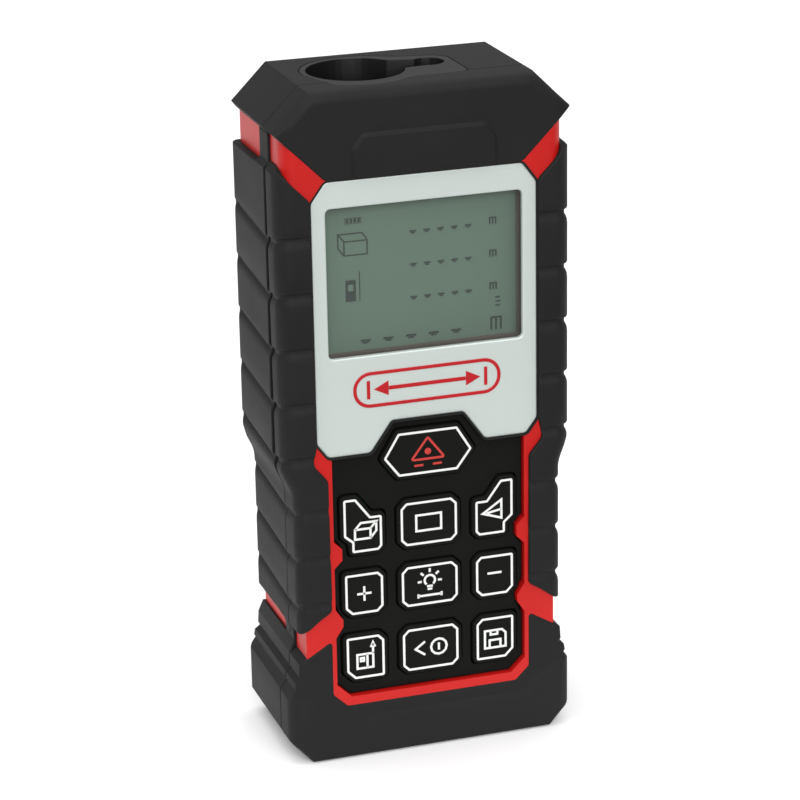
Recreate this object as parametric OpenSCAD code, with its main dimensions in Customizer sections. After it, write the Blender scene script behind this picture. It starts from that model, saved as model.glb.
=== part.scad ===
// Hand-held laser distance meter: two overmoulded half shells that clamp a display, a keypad,
// a circuit board, an optics block and two AAA cells. X runs to the right, Y to the back, Z up.
// The origin is the middle of the base.

/* [Body] */
// Overall width across the grips
body_w = 54; // [50:0.5:66]
// Overall depth, front to back
body_d = 28; // [27:0.5:34]
// Overall height
body_h = 124; // [122:1:150]
// How far the waist is narrower than the grips, each side
waist_cut = 2; // [1:0.1:2.5]
// Radius of the upright front corners
front_corner_r = 3; // [2:0.5:4]
// Radius of the upright rear corners
rear_corner_r = 1.5; // [1.5:0.5:5]
// Distance of the parting plane from the front
parting_depth = 7; // [6.8:0.1:7.5]
// Width and height of the chamfers at the top corners
top_chamfer = 6.5; // [4:0.5:7]

/* [Shells] */
// Wall of the hard shells
wall = 1.8; // [1.4:0.1:2.2]
// Front wall, deep enough for the display window
front_wall = 2; // [1.8:0.1:2.6]
// Rubber skin on the sides, top and base
side_skin = 1.4; // [1:0.1:1.8]
// Rubber skin on the front and back
face_skin = 0.7; // [0.5:0.1:1]
// Running gap around pieces that drop into a pocket
gap = 0.15; // [0.1:0.05:0.3]

/* [Grip ribs] */
// Depth of a rib groove on the side
groove_depth = 0.6; // [0.3:0.1:0.9]
// Depth of a rib groove on the front
groove_face_depth = 0.2; // [0.1:0.05:0.4]
// Height of a rib groove
groove_w = 2.2; // [1.4:0.1:3]
// Distance between the upper grooves
groove_pitch = 10; // [8:0.5:12]
// Distance between the grooves in the waist
waist_groove_pitch = 8.9; // [7:0.1:9.5]
// Angle at which the grooves climb towards the back
groove_tilt = 4.5; // [0:0.5:8]

/* [Display] */
// Width of the rubber between the body side and the bezel
bezel_inset = 6.4; // [5.5:0.1:8]
// Distance from the top of the body to the top of the bezel
bezel_drop = 15.8; // [14.5:0.1:18]
// Thickness of the bezel plate
bezel_t = 0.8; // [0.6:0.1:1]
// Width of the bezel beside the screen
bezel_rim = 2.65; // [2:0.05:4]
// Thickness of the clear window
window_t = 1.2; // [0.8:0.1:1.5]
// Distance from the bezel's face to the liquid crystal panel
screen_depth = 3.5; // [3.2:0.1:4]

/* [Keypad] */
// Height of the keypad opening's lower edge above the base
keypad_z = 11.9; // [11:0.1:14]
// Height of the keypad opening up to the bezel
keypad_h = 46.2; // [45:0.1:50]
// Width of the rubber and the red frame beside the keypad
keypad_inset = 9; // [8.5:0.1:10]
// Travel of a key
key_travel = 0.6; // [0.4:0.1:0.8]
// Clearance between a key and the flexing web around it
key_gap = 0.25; // [0.2:0.05:0.4]
// Width of a key's rim outside its printed outline
key_rim = 0.9; // [0.6:0.1:1]
// Height of a key above the web
key_rise = 0.6; // [0.3:0.1:0.8]

/* [Power] */
// Diameter of an AAA cell
cell_d = 10.5; // [10:0.1:10.5]
// Length of an AAA cell over the terminal
cell_l = 44.5; // [43:0.1:44.5]
// Space for the springs and contacts beyond the cells
contact_room = 5.5; // [5:0.1:6.5]
// Thickness of the battery door
door_t = 1.4; // [1.2:0.1:1.8]

/* [Optics] */
// Radius of the receiver mouth
mouth_r = 8.7; // [8:0.1:9]
// Radius of the laser mouth
laser_r = 2.95; // [2.6:0.05:3.2]
// Distance between the two mouths
mouth_span = 13.6; // [13:0.1:15]
// Depth of the hood below the top of the body
hood_depth = 11; // [9:0.5:12]
// Distance from the hood to the receiver board
focal_drop = 28.5; // [26:0.5:30]

/* [Fixings] */
// Thread core radius of the tripod bush, quarter inch thread
bush_core_r = 2.55; // [2.5:0.01:2.6]
// Outer radius of the tripod bush
bush_r = 4.2; // [4:0.1:5]
// Length of the tripod bush
bush_l = 8; // [6:0.5:9]
// Shank radius of a housing screw
screw_r = 1.1; // [0.9:0.05:1.25]

/* [Hidden] */
$fn = 48;

// Half width, front and back of the rubber and of the hard shells under it.
half = body_w / 2;
front = -body_d / 2;
back = body_d / 2;
shell_half = half - side_skin;
shell_front = front + face_skin;
shell_back = back - face_skin;
inner_front = shell_front + front_wall;
inner_back = shell_back - wall;
part_y = front + parting_depth;
far = body_w;
eps = 0.01;

// Levels of the side profile: bumper, lower band, waist, upper band.
foot_x = 4.1;
foot_z = 4.5;
bumper_z = 12.5;
band_low = [18.4, 24.4];
band_side_low = [21.6, 25.3];
waist_z = [25.4, 51.8];
flare_z = 56.1;
band_side_high = [body_h - 13.8, body_h - 7.7];
strip_y = part_y + 5.3;

// Display stack, from the face inwards.
bezel_half = half - bezel_inset;
bezel_y = [shell_front + 0.2, shell_front + 0.2 + bezel_t];
bezel_z = [keypad_z + keypad_h, body_h - bezel_drop];
screen_half = bezel_half - bezel_rim;
screen_z = [bezel_z[0] + 18.1, bezel_z[1] - 4.9];
window_half = screen_half + 1.25;
window_z = [screen_z[0] - 1.3, screen_z[1] + 1.4];
window_y = [bezel_y[1], bezel_y[1] + window_t];
lcd_y = bezel_y[0] + screen_depth;
lcd_t = 1.6;
frame_half = window_half + 0.2;
frame_z = [window_z[0] - 1, window_z[1] + 1];
board_y = [front + 7.5, front + 8.7];

// Keypad levels and columns. A key's outline is given by its printed line.
keypad_half = half - keypad_inset;
keypad_top = bezel_z[0] + 0.9;
keypad_cut = [2.7, 2.6];
web_y = [bezel_y[1] + 0.1, inner_front + 0.9];
flange = 1.4;
key_front = web_y[0] - key_rise;
key_back = web_y[1] - 0.2;
pill_y = board_y[0] - 0.15 - key_travel;
mid_key = 5.1;
side_key_w = 6.7;
side_key_x = keypad_half - 2.25;
row_z = [[keypad_z + 3.3, keypad_z + 11], [keypad_z + 15.9, keypad_z + 23.2],
    [keypad_z + 27.7, keypad_z + 35.5]];
notch_half = [10.7, 6.7];
notch_h = 5.6;
hex_z = bezel_z[0] - 1.2;
hex_half = [8, 5.4];
hex_h = 3.85;
chamfer = 0.95;

// Battery bay, door and their fixings.
cell_x = cell_d / 2 + 0.4;
cell_y = inner_back - 0.5 - cell_d / 2;
bay_half = cell_x + cell_d / 2 + 0.35;
bay_wall = 1.3;
bay_floor_y = cell_y - cell_d / 2 - 0.3;
bay_z = [13.9, 13.9 + cell_l + contact_room];
door_half = bay_half + bay_wall + 2.2;
door_z = [10, bay_z[1] + bay_wall + 1.4];
door_y = [shell_back - door_t, shell_back];
seal_y = [door_y[0] - 0.4, door_y[0] - 0.05];
hook_x = bay_half - 2.2;

// Optics, set out from the top of the body.
mouth_c = [-7.7, 0.8];
laser_c = [mouth_c[0] + mouth_span, mouth_c[1] + 1.1];
hood_wall = 1;
hood_z = body_h - hood_depth;
cover_z = body_h - side_skin;
lens_r = mouth_r + 0.2;
lens_t = 3;
lens_z = hood_z - 0.2 - lens_t;
board_z = hood_z - focal_drop;
chassis_r = lens_r + 0.6;
neck_r = 6.9;
neck_z = lens_z - 3.3;
sensor_r = 2.7;

// Screws: x and z of each pair.
screw_at = [[half - 6, body_h - 11.5], [half - 8.5, bezel_z[0] + 10.4], [half - 8.5, 6.6]];
screw_head_y = 5.2;
boss_r = 3.1;
insert_r = 1.9;
board_screw_at = [[10.2, bezel_z[0] + 11.4], [10.2, 7]];
bush_z = door_z[1] + 9;

// A list of points on the right, closed by its mirror image on the left.
function both(p) = concat(p, [for (i = [len(p) - 1:-1:0]) [-p[i][0], p[i][1]]]);

// An outline in X and Z, drawn out from y0 to y1.
module slab(y0, y1) translate([0, y1, 0]) rotate([90, 0, 0]) linear_extrude(y1 - y0) children();

// An outline in Y and Z, drawn out across the whole width.
module across() translate([-far, 0, 0]) rotate([90, 0, 90]) linear_extrude(2 * far) children();

// An outline in X and Y, drawn up from z0 to z1.
module column(z0, z1) translate([0, 0, z0]) linear_extrude(z1 - z0) children();

// A round rod along Y.
module rod(x, z, r, y0, y1) translate([x, y1, z]) rotate([90, 0, 0]) cylinder(r = r, h = y1 - y0);

module span(half_x, z) translate([-half_x, z[0]]) square([2 * half_x, z[1] - z[0]]);

module pairs(at) for (p = at, s = [-1, 1]) translate([s * p[0], 0, p[1]]) children();

// ---- Outlines of the body ----

module rubber_outline() polygon(both([
    [half - foot_x, 0], [half, foot_z], [half, bumper_z], [half - 1.1, bumper_z + 2.4],
    [half - 2.1, bumper_z + 4.4], [half - 3, band_low[0]], [half - 2.8, band_low[1]],
    [half - waist_cut, waist_z[0]], [half - waist_cut, waist_z[1]], [half, flare_z],
    [half, band_side_high[0]], [half - 0.9, band_side_high[0] + 0.9],
    [half - 0.9, band_side_high[1]], [half, body_h - top_chamfer],
    [half - top_chamfer, body_h]]));

module shell_outline() polygon(both([
    [shell_half - foot_x + 0.8, side_skin], [shell_half, foot_z + 0.6],
    [shell_half, bumper_z - 0.6], [shell_half - waist_cut, band_low[0] - 1],
    [shell_half - waist_cut, waist_z[1] + 0.6], [shell_half, flare_z + 0.8],
    [shell_half, body_h - top_chamfer - 0.6], [half - top_chamfer - 0.6, body_h - side_skin]]));

// A quarter turn of radius r about a centre, in steps.
function quarter(x, y, r, from) = [for (i = [0:8]) let (a = from + i * 90 / 8)
    [x + r * cos(a), y + r * sin(a)]];

// Plan of the body with rounded upright corners.
module plan(half_x, y0, y1, inset) {
    rf = front_corner_r - inset;
    rr = max(0.1, rear_corner_r - inset);
    polygon(both(concat(quarter(half_x - rf, y0 + rf, rf, 270), quarter(half_x - rr, y1 - rr, rr, 0))));
}

// Side view of the body with eased edges at the top and the base.
module side_view(y0, y1, z0, z1, ease) polygon([
    [y0, z0 + ease], [y0 + ease, z0], [y1 - ease, z0], [y1, z0 + ease],
    [y1, z1 - ease], [y1 - ease, z1], [y0 + ease, z1], [y0, z1 - ease]]);

module rubber_body() intersection() {
    slab(front, back) rubber_outline();
    column(0, body_h) plan(half, front, back, 0);
    across() side_view(front, back, 0, body_h, 1.2);
}

module shell_body() intersection() {
    slab(shell_front, shell_back) shell_outline();
    column(side_skin, body_h) plan(shell_half, shell_front, shell_back, 0.5);
    across() side_view(shell_front, shell_back, side_skin, cover_z, 0.8);
}

module cavity() intersection() {
    slab(inner_front, inner_back) offset(delta = -wall) shell_outline();
    column(0, body_h) plan(shell_half - wall, inner_front, inner_back, 1.4);
}

// The front where the rubber stops: bezel, keypad frame and the coloured bands beside them.
module front_field() polygon(both([
    [bezel_half - 2.6, bezel_z[1] + 0.2], [half + 1, bezel_z[1] + 10.2],
    [half + 1, bezel_z[1] + 4.2], [bezel_half + gap, bezel_z[1] - 3.1],
    [bezel_half + gap, bezel_z[0] + 2.7], [bezel_half + 0.8, bezel_z[0] - 0.9],
    [keypad_half + 1.1, bezel_z[0] - 4], [keypad_half + 0.95, 29.2], [half - 6, 27.8],
    [half - 4.1, 26.3], [half - 2.3, band_side_low[1]], [half + 1, band_side_low[1]],
    [half + 1, band_side_low[0]], [half - 1, band_side_low[0]], [half - 3, 20.3],
    [half - 5.9, 22], [keypad_half + 0.95, 23.5], [keypad_half + 0.95, keypad_z + 0.9],
    [keypad_half - 1.9, keypad_z - 1.6]]));

// The back where the rubber stops.
module back_field() polygon(both([
    [half - top_chamfer - 2.5, body_h - 9], [half - 5.5, body_h - 13.5],
    [half - 5.5, flare_z + 1], [half - 7, waist_z[1]], [half - 7, 10.5], [half - 9, 8]]));

// ---- Grooves round the grips ----

module groove(z, half_x) translate([0, part_y, z]) rotate([groove_tilt, 0, 0])
    translate([0, -part_y, -groove_w / 2]) linear_extrude(groove_w) difference() {
        square([2 * far, 2 * far], center = true);
        plan(half_x - groove_depth, front + groove_face_depth, back - groove_face_depth, 0);
    }

module grooves() {
    for (i = [0:4]) groove(flare_z + 1.5 + i * groove_pitch, half);
    for (i = [1:3]) groove(flare_z + 0.4 - i * waist_groove_pitch, half - waist_cut);
}

// ---- Optics outlines, in X and Y ----

// Keyhole mouth: a large and a small circle joined by a channel, filleted where they meet.
module keyhole() offset(-1.5) offset(1.5) union() {
    translate(mouth_c) circle(mouth_r);
    translate(laser_c) circle(laser_r);
    polygon([[mouth_c[0] + 2.6, mouth_c[1] + mouth_r - 0.5],
        [laser_c[0] + 0.6, laser_c[1] + laser_r - 0.1],
        [laser_c[0], laser_c[1] - laser_r], [mouth_c[0] + 5, laser_c[1] - laser_r]]);
}

// Cover plate on the top: follows the keyhole and bulges forward round the large mouth.
module cover_outline() {
    polygon([[mouth_c[0] - 9.7, part_y - 1.2], [mouth_c[0] - 9.5, mouth_c[1] + 2.7],
        [mouth_c[0] - 7.6, mouth_c[1] + 7.2], [mouth_c[0] - 4, mouth_c[1] + 9.8],
        [mouth_c[0] + 2, mouth_c[1] + 10], [laser_c[0] - 4, laser_c[1] + 5.6],
        [laser_c[0] + 2.8, laser_c[1] + 4], [laser_c[0] + 4.4, laser_c[1] + 2],
        [laser_c[0] + 4.6, part_y - 0.4], [mouth_c[0] + 7.5, part_y - 0.9],
        [mouth_c[0] + 4.5, part_y - 3], [mouth_c[0] + 1, part_y - 4],
        [mouth_c[0] - 2.6, part_y - 3.5], [mouth_c[0] - 6, part_y - 1.5]]);
}

module hood_hole() column(hood_z - 5, body_h) offset(hood_wall + gap) keyhole();

// ---- Keypad outlines ----

// The opening for the keypad, with the frame's two bumps on each side.
module keypad_opening() difference() {
    polygon(both([
        [keypad_half - keypad_cut[0], keypad_z], [keypad_half, keypad_z + keypad_cut[1]],
        [keypad_half, keypad_top], [notch_half[0] + 0.8, keypad_top],
        [notch_half[1] + 0.7, keypad_top + notch_h]]));
    for (s = [-1, 1]) scale([s, 1]) {
        polygon([[keypad_half + 1, keypad_z + 31.3], [keypad_half - 1.5, keypad_z + 28.8],
            [keypad_half - 1.5, keypad_z + 26.7], [keypad_half + 1, keypad_z + 24.2]]);
        polygon([[keypad_half + 1, keypad_z + 18.8], [keypad_half - 1.4, keypad_z + 15.2],
            [keypad_half - 1.4, keypad_z + 13.9], [keypad_half + 1, keypad_z + 10.3]]);
    }
}

// A rectangle with its corners cut, clockwise from the top left.
module cut_rect(x, z, c) polygon([
    [x[0], z[1] - c[0]], [x[0] + c[0], z[1]], [x[1] - c[1], z[1]], [x[1], z[1] - c[1]],
    [x[1], z[0] + c[2]], [x[1] - c[2], z[0]], [x[0] + c[3], z[0]], [x[0], z[0] + c[3]]]);

module hex_line() polygon([[-hex_half[0], hex_z - 0.4], [-hex_half[1], hex_z + hex_h],
    [hex_half[1], hex_z + hex_h], [hex_half[0], hex_z - 0.4], [hex_half[1], hex_z - hex_h],
    [-hex_half[1], hex_z - hex_h]]);

module mid_line(row) cut_rect([-mid_key, mid_key], row_z[row], [1, 1, 1, 1] * chamfer);

// The outer keys: each row's left key, drawn on the left and mirrored for the right.
module top_line() polygon([
    [-side_key_x, row_z[2][1] + 2.1], [2 - side_key_x, row_z[2][1] + 2.1],
    [4.7 - side_key_x, row_z[2][1] - 1.5], [side_key_w - side_key_x, row_z[2][1] - 1.5],
    [side_key_w - side_key_x, row_z[2][0] + 0.7], [side_key_w - 0.6 - side_key_x, row_z[2][0] + 0.1],
    [1.5 - side_key_x, row_z[2][0] + 0.1], [1.5 - side_key_x, row_z[2][0] + 1.9],
    [-side_key_x, row_z[2][0] + 3.2]]);

module side_line(row) {
    corners = row == 1 ? [eps, 0.8, chamfer, 1.1] : [eps, chamfer, eps, 1.4];
    cut_rect([-side_key_x, side_key_w - side_key_x], row_z[row], corners);
}

module key_lines() {
    hex_line();
    for (row = [0:2]) mid_line(row);
    for (s = [-1, 1]) scale([s, 1]) {
        top_line();
        for (row = [0, 1]) side_line(row);
    }
}

// A key: a plateau with a plunger that ends in a contact pill above the board.
module key_cap(x, z, pill_r = 1.8) color("#262624") {
    slab(key_front, key_back) offset(delta = key_rim) children();
    rod(x, z, pill_r, key_back - eps, pill_y);
}

side_mid = side_key_x - side_key_w / 2;
function mid(z) = (z[0] + z[1]) / 2;

// ---- Shells ----

module front_housing() color("#c2262b") difference() {
    union() {
        difference() {
            intersection() {
                shell_body();
                slab(front, part_y) span(far, [0, body_h]);
            }
            cavity();
        }
        intersection() {
            shell_body();
            pairs(screw_at) rod(0, 0, boss_r, inner_front - 0.5, part_y);
        }
        pairs(board_screw_at) rod(0, 0, 2.2, inner_front - 0.5, board_y[0]);
    }
    slab(front, bezel_y[1]) offset(delta = gap) bezel_outline();
    slab(front, inner_front + 1) span(window_half + gap, window_z + [-gap, gap]);
    slab(front, inner_front + 1) keypad_opening();
    pairs(screw_at) rod(0, 0, insert_r, part_y - 3.2, part_y + 1);
    pairs(board_screw_at) rod(0, 0, 0.95, board_y[0] - 3, board_y[0] + 1);
    hood_hole();
}

module rear_housing() color("#c2262b") difference() {
    union() {
        difference() {
            intersection() {
                shell_body();
                slab(part_y, back) span(far, [0, body_h]);
            }
            cavity();
        }
        intersection() {
            shell_body();
            pairs(screw_at) rod(0, 0, boss_r, part_y, inner_back + 0.5);
        }
        rod(0, bush_z, bush_r + 2, shell_back - bush_l - 0.8, inner_back + 0.5);
        // Battery bay: a box open to the back.
        difference() {
            slab(bay_floor_y - bay_wall, seal_y[0])
                span(bay_half + bay_wall, bay_z + [-bay_wall, bay_wall]);
            slab(bay_floor_y, back) span(bay_half, bay_z);
        }
        for (s = [-1, 1]) slab(bay_floor_y, inner_back + 0.5)
            translate([s * (bay_half + 4.4) - 4.4, mid(bay_z) - 0.6]) square([8.8, 1.2]);
    }
    slab(seal_y[0], back) span(door_half + gap, door_z + [-gap, gap]);
    pairs(screw_at) {
        rod(0, 0, screw_r + 0.15, part_y - 1, back);
        rod(0, 0, 2.7, screw_head_y, back);
    }
    rod(0, bush_z, bush_r + 0.02, shell_back - bush_l, back);
    hood_hole();
}

module rubber_skin() difference() {
    rubber_body();
    shell_body();
    grooves();
    column(cover_z, body_h + 1) offset(delta = gap) cover_outline();
}

// The part of the front rubber that lies in an outline in X and Z.
module front_rubber() color("#30312f") difference() {
    intersection() {
        rubber_skin();
        slab(front, part_y) children();
    }
    slab(front - 1, part_y + 1) front_field();
    // The face is lowered around the keypad frame and above the pad over the display.
    slab(front - 1, front + 0.35) polygon(both([[half + 1, 14], [half - 3, 13.6],
        [keypad_half + 2.2, keypad_z + 0.4], [keypad_half - 1.7, keypad_z - 3.1]]));
    slab(front - 1, front + 0.3) difference() {
        span(far, [bezel_z[1], body_h + 1]);
        span(screen_half - 5.2, [bezel_z[1] - 1, bezel_z[1] + 7.7]);
    }
}

// Everything above the middle of the upper coloured bands.
module cap_region() polygon(both([[bezel_half - 1.2, bezel_z[1] - 1.5],
    [half + 1, bezel_z[1] + 7.2], [half + 1, body_h]]));

module front_top_cap() front_rubber() cap_region();
module front_grip(side) front_rubber() difference() {
    translate([side * far, 0]) span(far, [band_side_low[1] - 0.5, body_h]);
    cap_region();
}
module front_grip_left() front_grip(-1);
module front_grip_right() front_grip(1);
module front_bumper() front_rubber() span(far, [0, band_side_low[1] - 0.5]);

// The part of the rear rubber that lies in an outline in X and Z. Strips along the parting
// plane reach across the coloured bands and join the grips to the cap and the bumper.
module rear_rubber() color("#30312f") difference() {
    intersection() {
        rubber_skin();
        slab(part_y, back) children();
    }
    slab(inner_back, back + 1) back_field();
    for (band = [band_side_low, band_side_high]) slab(strip_y, back + 1) span(far, band);
    pairs(screw_at) rod(0, 0, 2.7, screw_head_y, back + 1);
}

module rear_top_cap() rear_rubber() span(far, [band_side_high[1], body_h]);
module rear_grip_left() rear_rubber()
    translate([-far, 0]) span(far, [band_side_low[0], band_side_high[1]]);
module rear_grip_right() mirror([1, 0, 0]) rear_grip_left();
module rear_bumper() rear_rubber() span(far, [0, band_side_low[0]]);

// ---- Display ----

module bezel_outline() polygon(both([
    [notch_half[1], bezel_z[0] + notch_h], [notch_half[0], bezel_z[0]],
    [bezel_half - 2.1, bezel_z[0]], [bezel_half, bezel_z[0] + 2.8],
    [bezel_half, bezel_z[1] - 3.6], [bezel_half - 2.65, bezel_z[1]]]));

module display_bezel() color("#d2d8d4") slab(bezel_y[0], bezel_y[1]) difference() {
    bezel_outline();
    span(screen_half, screen_z);
}

module display_window() color("#b8c8c0", 0.4) slab(window_y[0], window_y[1])
    span(window_half, window_z);

module window_gasket() color("#5d5048") slab(window_y[1], lcd_y - 1.1) difference() {
    span(window_half, window_z);
    span(screen_half, screen_z);
}

module lcd_frame() color("#7d7068") difference() {
    slab(lcd_y - 1.1, board_y[0]) span(frame_half, frame_z);
    slab(lcd_y - 2, board_y[0] + 1) span(screen_half, screen_z);
    slab(lcd_y, board_y[0] + 1) span(window_half - 0.4, window_z);
}

module lcd_panel() color("#70847a") slab(lcd_y, lcd_y + lcd_t)
    span(window_half - 0.5, window_z + [0.1, -0.1]);

module backlight() color("#f2f4ee") slab(lcd_y + lcd_t, board_y[0] - 0.1)
    span(window_half - 0.5, window_z + [2.4, -0.1]);

module lcd_connector() color("#e59a9a") slab(lcd_y + lcd_t, board_y[0])
    span(screen_half - 2, [window_z[0] + 0.3, window_z[0] + 2.2]);

// ---- Keypad ----

module keypad_sheet() color("#2c2c2a") difference() {
    union() {
        slab(web_y[0], web_y[1]) offset(delta = -gap) keypad_opening();
        slab(inner_front + 0.05, web_y[1]) difference() {
            offset(delta = flange) keypad_opening();
            // Room for the bosses beside the notch and the lower edge of the window.
            span(far, [window_z[0] - 1.2, body_h]);
        }
    }
    slab(front, board_y[0]) offset(delta = key_rim + key_gap) key_lines();
}

module key_measure() key_cap(0, hex_z, 2.4) hex_line();
module key_area() key_cap(0, mid(row_z[2])) mid_line(2);
module key_light() key_cap(0, mid(row_z[1])) mid_line(1);
module key_clear() key_cap(0, mid(row_z[0])) mid_line(0);
module key_volume() key_cap(-side_mid, mid(row_z[2])) top_line();
module key_pythagoras() key_cap(side_mid, mid(row_z[2])) scale([-1, 1]) top_line();
module key_plus() key_cap(-side_mid, mid(row_z[1])) side_line(1);
module key_minus() key_cap(side_mid, mid(row_z[1])) scale([-1, 1]) side_line(1);
module key_reference() key_cap(-side_mid, mid(row_z[0])) side_line(0);
module key_storage() key_cap(side_mid, mid(row_z[0])) scale([-1, 1]) side_line(0);

// ---- Electronics ----

module main_board() color("#1f6b3a") difference() {
    slab(board_y[0], board_y[1]) polygon(both([
        [half - 12.4, 4.6], [half - 12.4, 10.8], [half - 7.4, 12.8],
        [half - 7.4, window_z[1] - 10], [half - 9, window_z[1] - 9]]));
    pairs([screw_at[1]]) rod(0, 0, boss_r + 0.4, front, back);
    pairs(board_screw_at) rod(0, 0, 1, front, back);
}

module contact_pads() color("#d8b04a") {
    key_spots = concat([[0, hex_z]], [for (z = row_z, x = [-side_mid, 0, side_mid]) [x, mid(z)]]);
    for (p = key_spots) rod(p[0], p[1], 2.2, board_y[0] - 0.05, board_y[0]);
}

module board_chips() color("#1b1b1d") {
    slab(board_y[1], board_y[1] + 1.2) translate([-5, 34]) square([10, 10]);
    slab(board_y[1], board_y[1] + 1) translate([8, 48]) square([5, 6]);
    slab(board_y[1], board_y[1] + 1) translate([-14, 50]) square([6, 5]);
    for (z = [20:3:32]) slab(board_y[1], board_y[1] + 0.8) translate([-15, z]) square([3.2, 1.6]);
}

module buzzer() color("#2a2a2c") translate([board_screw_at[0][0] + 1.8, 0, board_screw_at[0][1] + 11.5])
    difference() {
        rod(0, 0, 4, board_y[1], board_y[1] + 3);
        rod(0, 0, 0.8, board_y[1] + 1, board_y[1] + 4);
    }

// ---- Optics ----

module optics_cover() color("#1a1b1c") difference() {
    union() {
        column(cover_z, body_h) cover_outline();
        column(hood_z, cover_z + eps) offset(hood_wall) keyhole();
    }
    column(hood_z - 1, body_h + 1) keyhole();
}

// Die-cast block: lens seat and light cone for the receiver, barrel seat for the laser.
module optics_chassis() color("#8c8f92") difference() {
    union() {
        translate([mouth_c[0], mouth_c[1], 0]) {
            translate([0, 0, neck_z + 2]) cylinder(r = chassis_r, h = hood_z - 0.1 - neck_z - 2);
            translate([0, 0, board_z + 1]) cylinder(r1 = 4.6, r2 = neck_r, h = neck_z + 2.1 - board_z - 1);
        }
        translate([laser_c[0], laser_c[1], hood_z - 15]) cylinder(r = 4.6, h = 14.9);
        column(neck_z + 2, neck_z + 4) translate([mouth_c[0], mouth_c[1] - 3]) square([mouth_span, 6]);
    }
    translate([mouth_c[0], mouth_c[1], 0]) {
        translate([0, 0, lens_z]) cylinder(r = lens_r + 0.05, h = 20);
        translate([0, 0, neck_z]) cylinder(r = neck_r - 1.2, h = 20);
        translate([0, 0, board_z]) cylinder(r1 = 3.3, r2 = neck_r - 1.2, h = neck_z + eps - board_z);
    }
    translate([laser_c[0], laser_c[1], hood_z - 16]) cylinder(r = 3.05, h = 20);
    translate([laser_c[0], laser_c[1], hood_z - 1.3]) cylinder(r = 3.55, h = 5);
}

// Plano-convex lens with its dome upwards.
module receiver_lens() color("#c8d6e4", 0.5) translate([mouth_c[0], mouth_c[1], lens_z])
    rotate_extrude() {
        dome = 1.5;
        ball = (pow(lens_r, 2) + pow(dome, 2)) / (2 * dome);
        polygon(concat([[0, 0], [lens_r, 0], [lens_r, lens_t - dome]],
            [for (i = [1:8]) let (x = lens_r * (1 - i / 8))
                [x, lens_t - ball + sqrt(pow(ball, 2) - pow(x, 2))]]));
    }

module lens_ring() color("#202224") translate([mouth_c[0], mouth_c[1], hood_z - 0.95])
    difference() {
        cylinder(r = lens_r, h = 0.85);
        translate([0, 0, -1]) cylinder(r = lens_r - 0.9, h = 3);
    }

module laser_window() color("#c8d6e4", 0.5) translate([laser_c[0], laser_c[1], hood_z - 1.25])
    cylinder(r = 3.5, h = 1);

module collimator_lens() color("#c8d6e4", 0.5) translate([laser_c[0], laser_c[1], hood_z - 4.4])
    cylinder(r = 2.2, h = 1.6);

module laser_module() color("#c9a24b") translate([laser_c[0], laser_c[1], 0]) difference() {
    translate([0, 0, hood_z - 14]) cylinder(r = 3, h = 12.2);
    translate([0, 0, hood_z - 4.4]) cylinder(r = 2.25, h = 4);
    translate([0, 0, hood_z - 12]) cylinder(r = 1.6, h = 9);
}

module receiver_board() color("#1f6b3a") column(board_z - 1, board_z)
    translate([mouth_c[0] - 8, mouth_c[1] - 5.3]) square([16, 11]);

module receiver_sensor() color("#b9a36a") translate([mouth_c[0], mouth_c[1], board_z])
    cylinder(r = sensor_r, h = 2.6);

module optics_flex() color("#b5702a") difference() {
    column(board_z - 6, board_z - 1) translate([mouth_c[0] - 4, board_y[1]]) square([8, 2.5]);
    column(board_z - 7, board_z - 1.2) translate([mouth_c[0] - 5, board_y[1] + 0.2]) square([10, 5]);
}

// ---- Power ----

module cell(x) {
    body_len = cell_l - 1;
    translate([x, cell_y, bay_z[0] + contact_room - 0.8]) {
        cylinder(d = cell_d, h = body_len);
        translate([0, 0, body_len - eps]) cylinder(d = 3.8, h = 1);
    }
}
module battery_left() color("#2f5f8f") cell(-cell_x);
module battery_right() color("#2f5f8f") cell(cell_x);

// Round wire wound as a cone, swept along its own helix.
spring_turns = 3;
spring_steps = 14;
spring_wire = 0.35;
spring_h = contact_room - 1.6;
function spring_point(t) = let (r = 3.6 - 1.2 * t, a = 360 * spring_turns * t)
    [r * cos(a), r * sin(a), spring_wire + (spring_h - 2 * spring_wire) * t];
function spring_ring(t) = let (a = 360 * spring_turns * t, p = spring_point(t))
    [for (k = [0:7]) let (b = 45 * k) p + spring_wire
        * [cos(b) * cos(a), cos(b) * sin(a), sin(b)]];
module spring() {
    n = spring_turns * spring_steps;
    points = [for (i = [0:n]) each spring_ring(i / n)];
    ends = [[for (k = [0:7]) k], [for (k = [7:-1:0]) 8 * n + k]];
    sides = [for (i = [0:n - 1], k = [0:7]) let (a = 8 * i + k, b = 8 * i + (k + 1) % 8)
        [a, a + 8, b + 8, b]];
    polyhedron(points, concat(ends, sides));
}
module battery_springs() color("#c9ccd0") for (s = [-1, 1])
    translate([s * cell_x, cell_y, bay_z[0] + 0.5]) spring();

module battery_plates() color("#b9bdc2") {
    for (s = [-1, 1], z = [bay_z[0], bay_z[1] - 0.5])
        translate([s * cell_x - 4.2, cell_y - 4.4, z]) cube([8.4, 8.8, 0.5]);
    translate([-1.6, cell_y - 4.4, bay_z[1] - 0.5]) cube([3.2, 2.5, 0.5]);
}

module door_seal() color("#3a3a3a") slab(seal_y[0], seal_y[1]) difference() {
    span(bay_half + 1, bay_z + [-1, 1]);
    span(bay_half + 0.2, bay_z + [-0.2, 0.2]);
}

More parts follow.
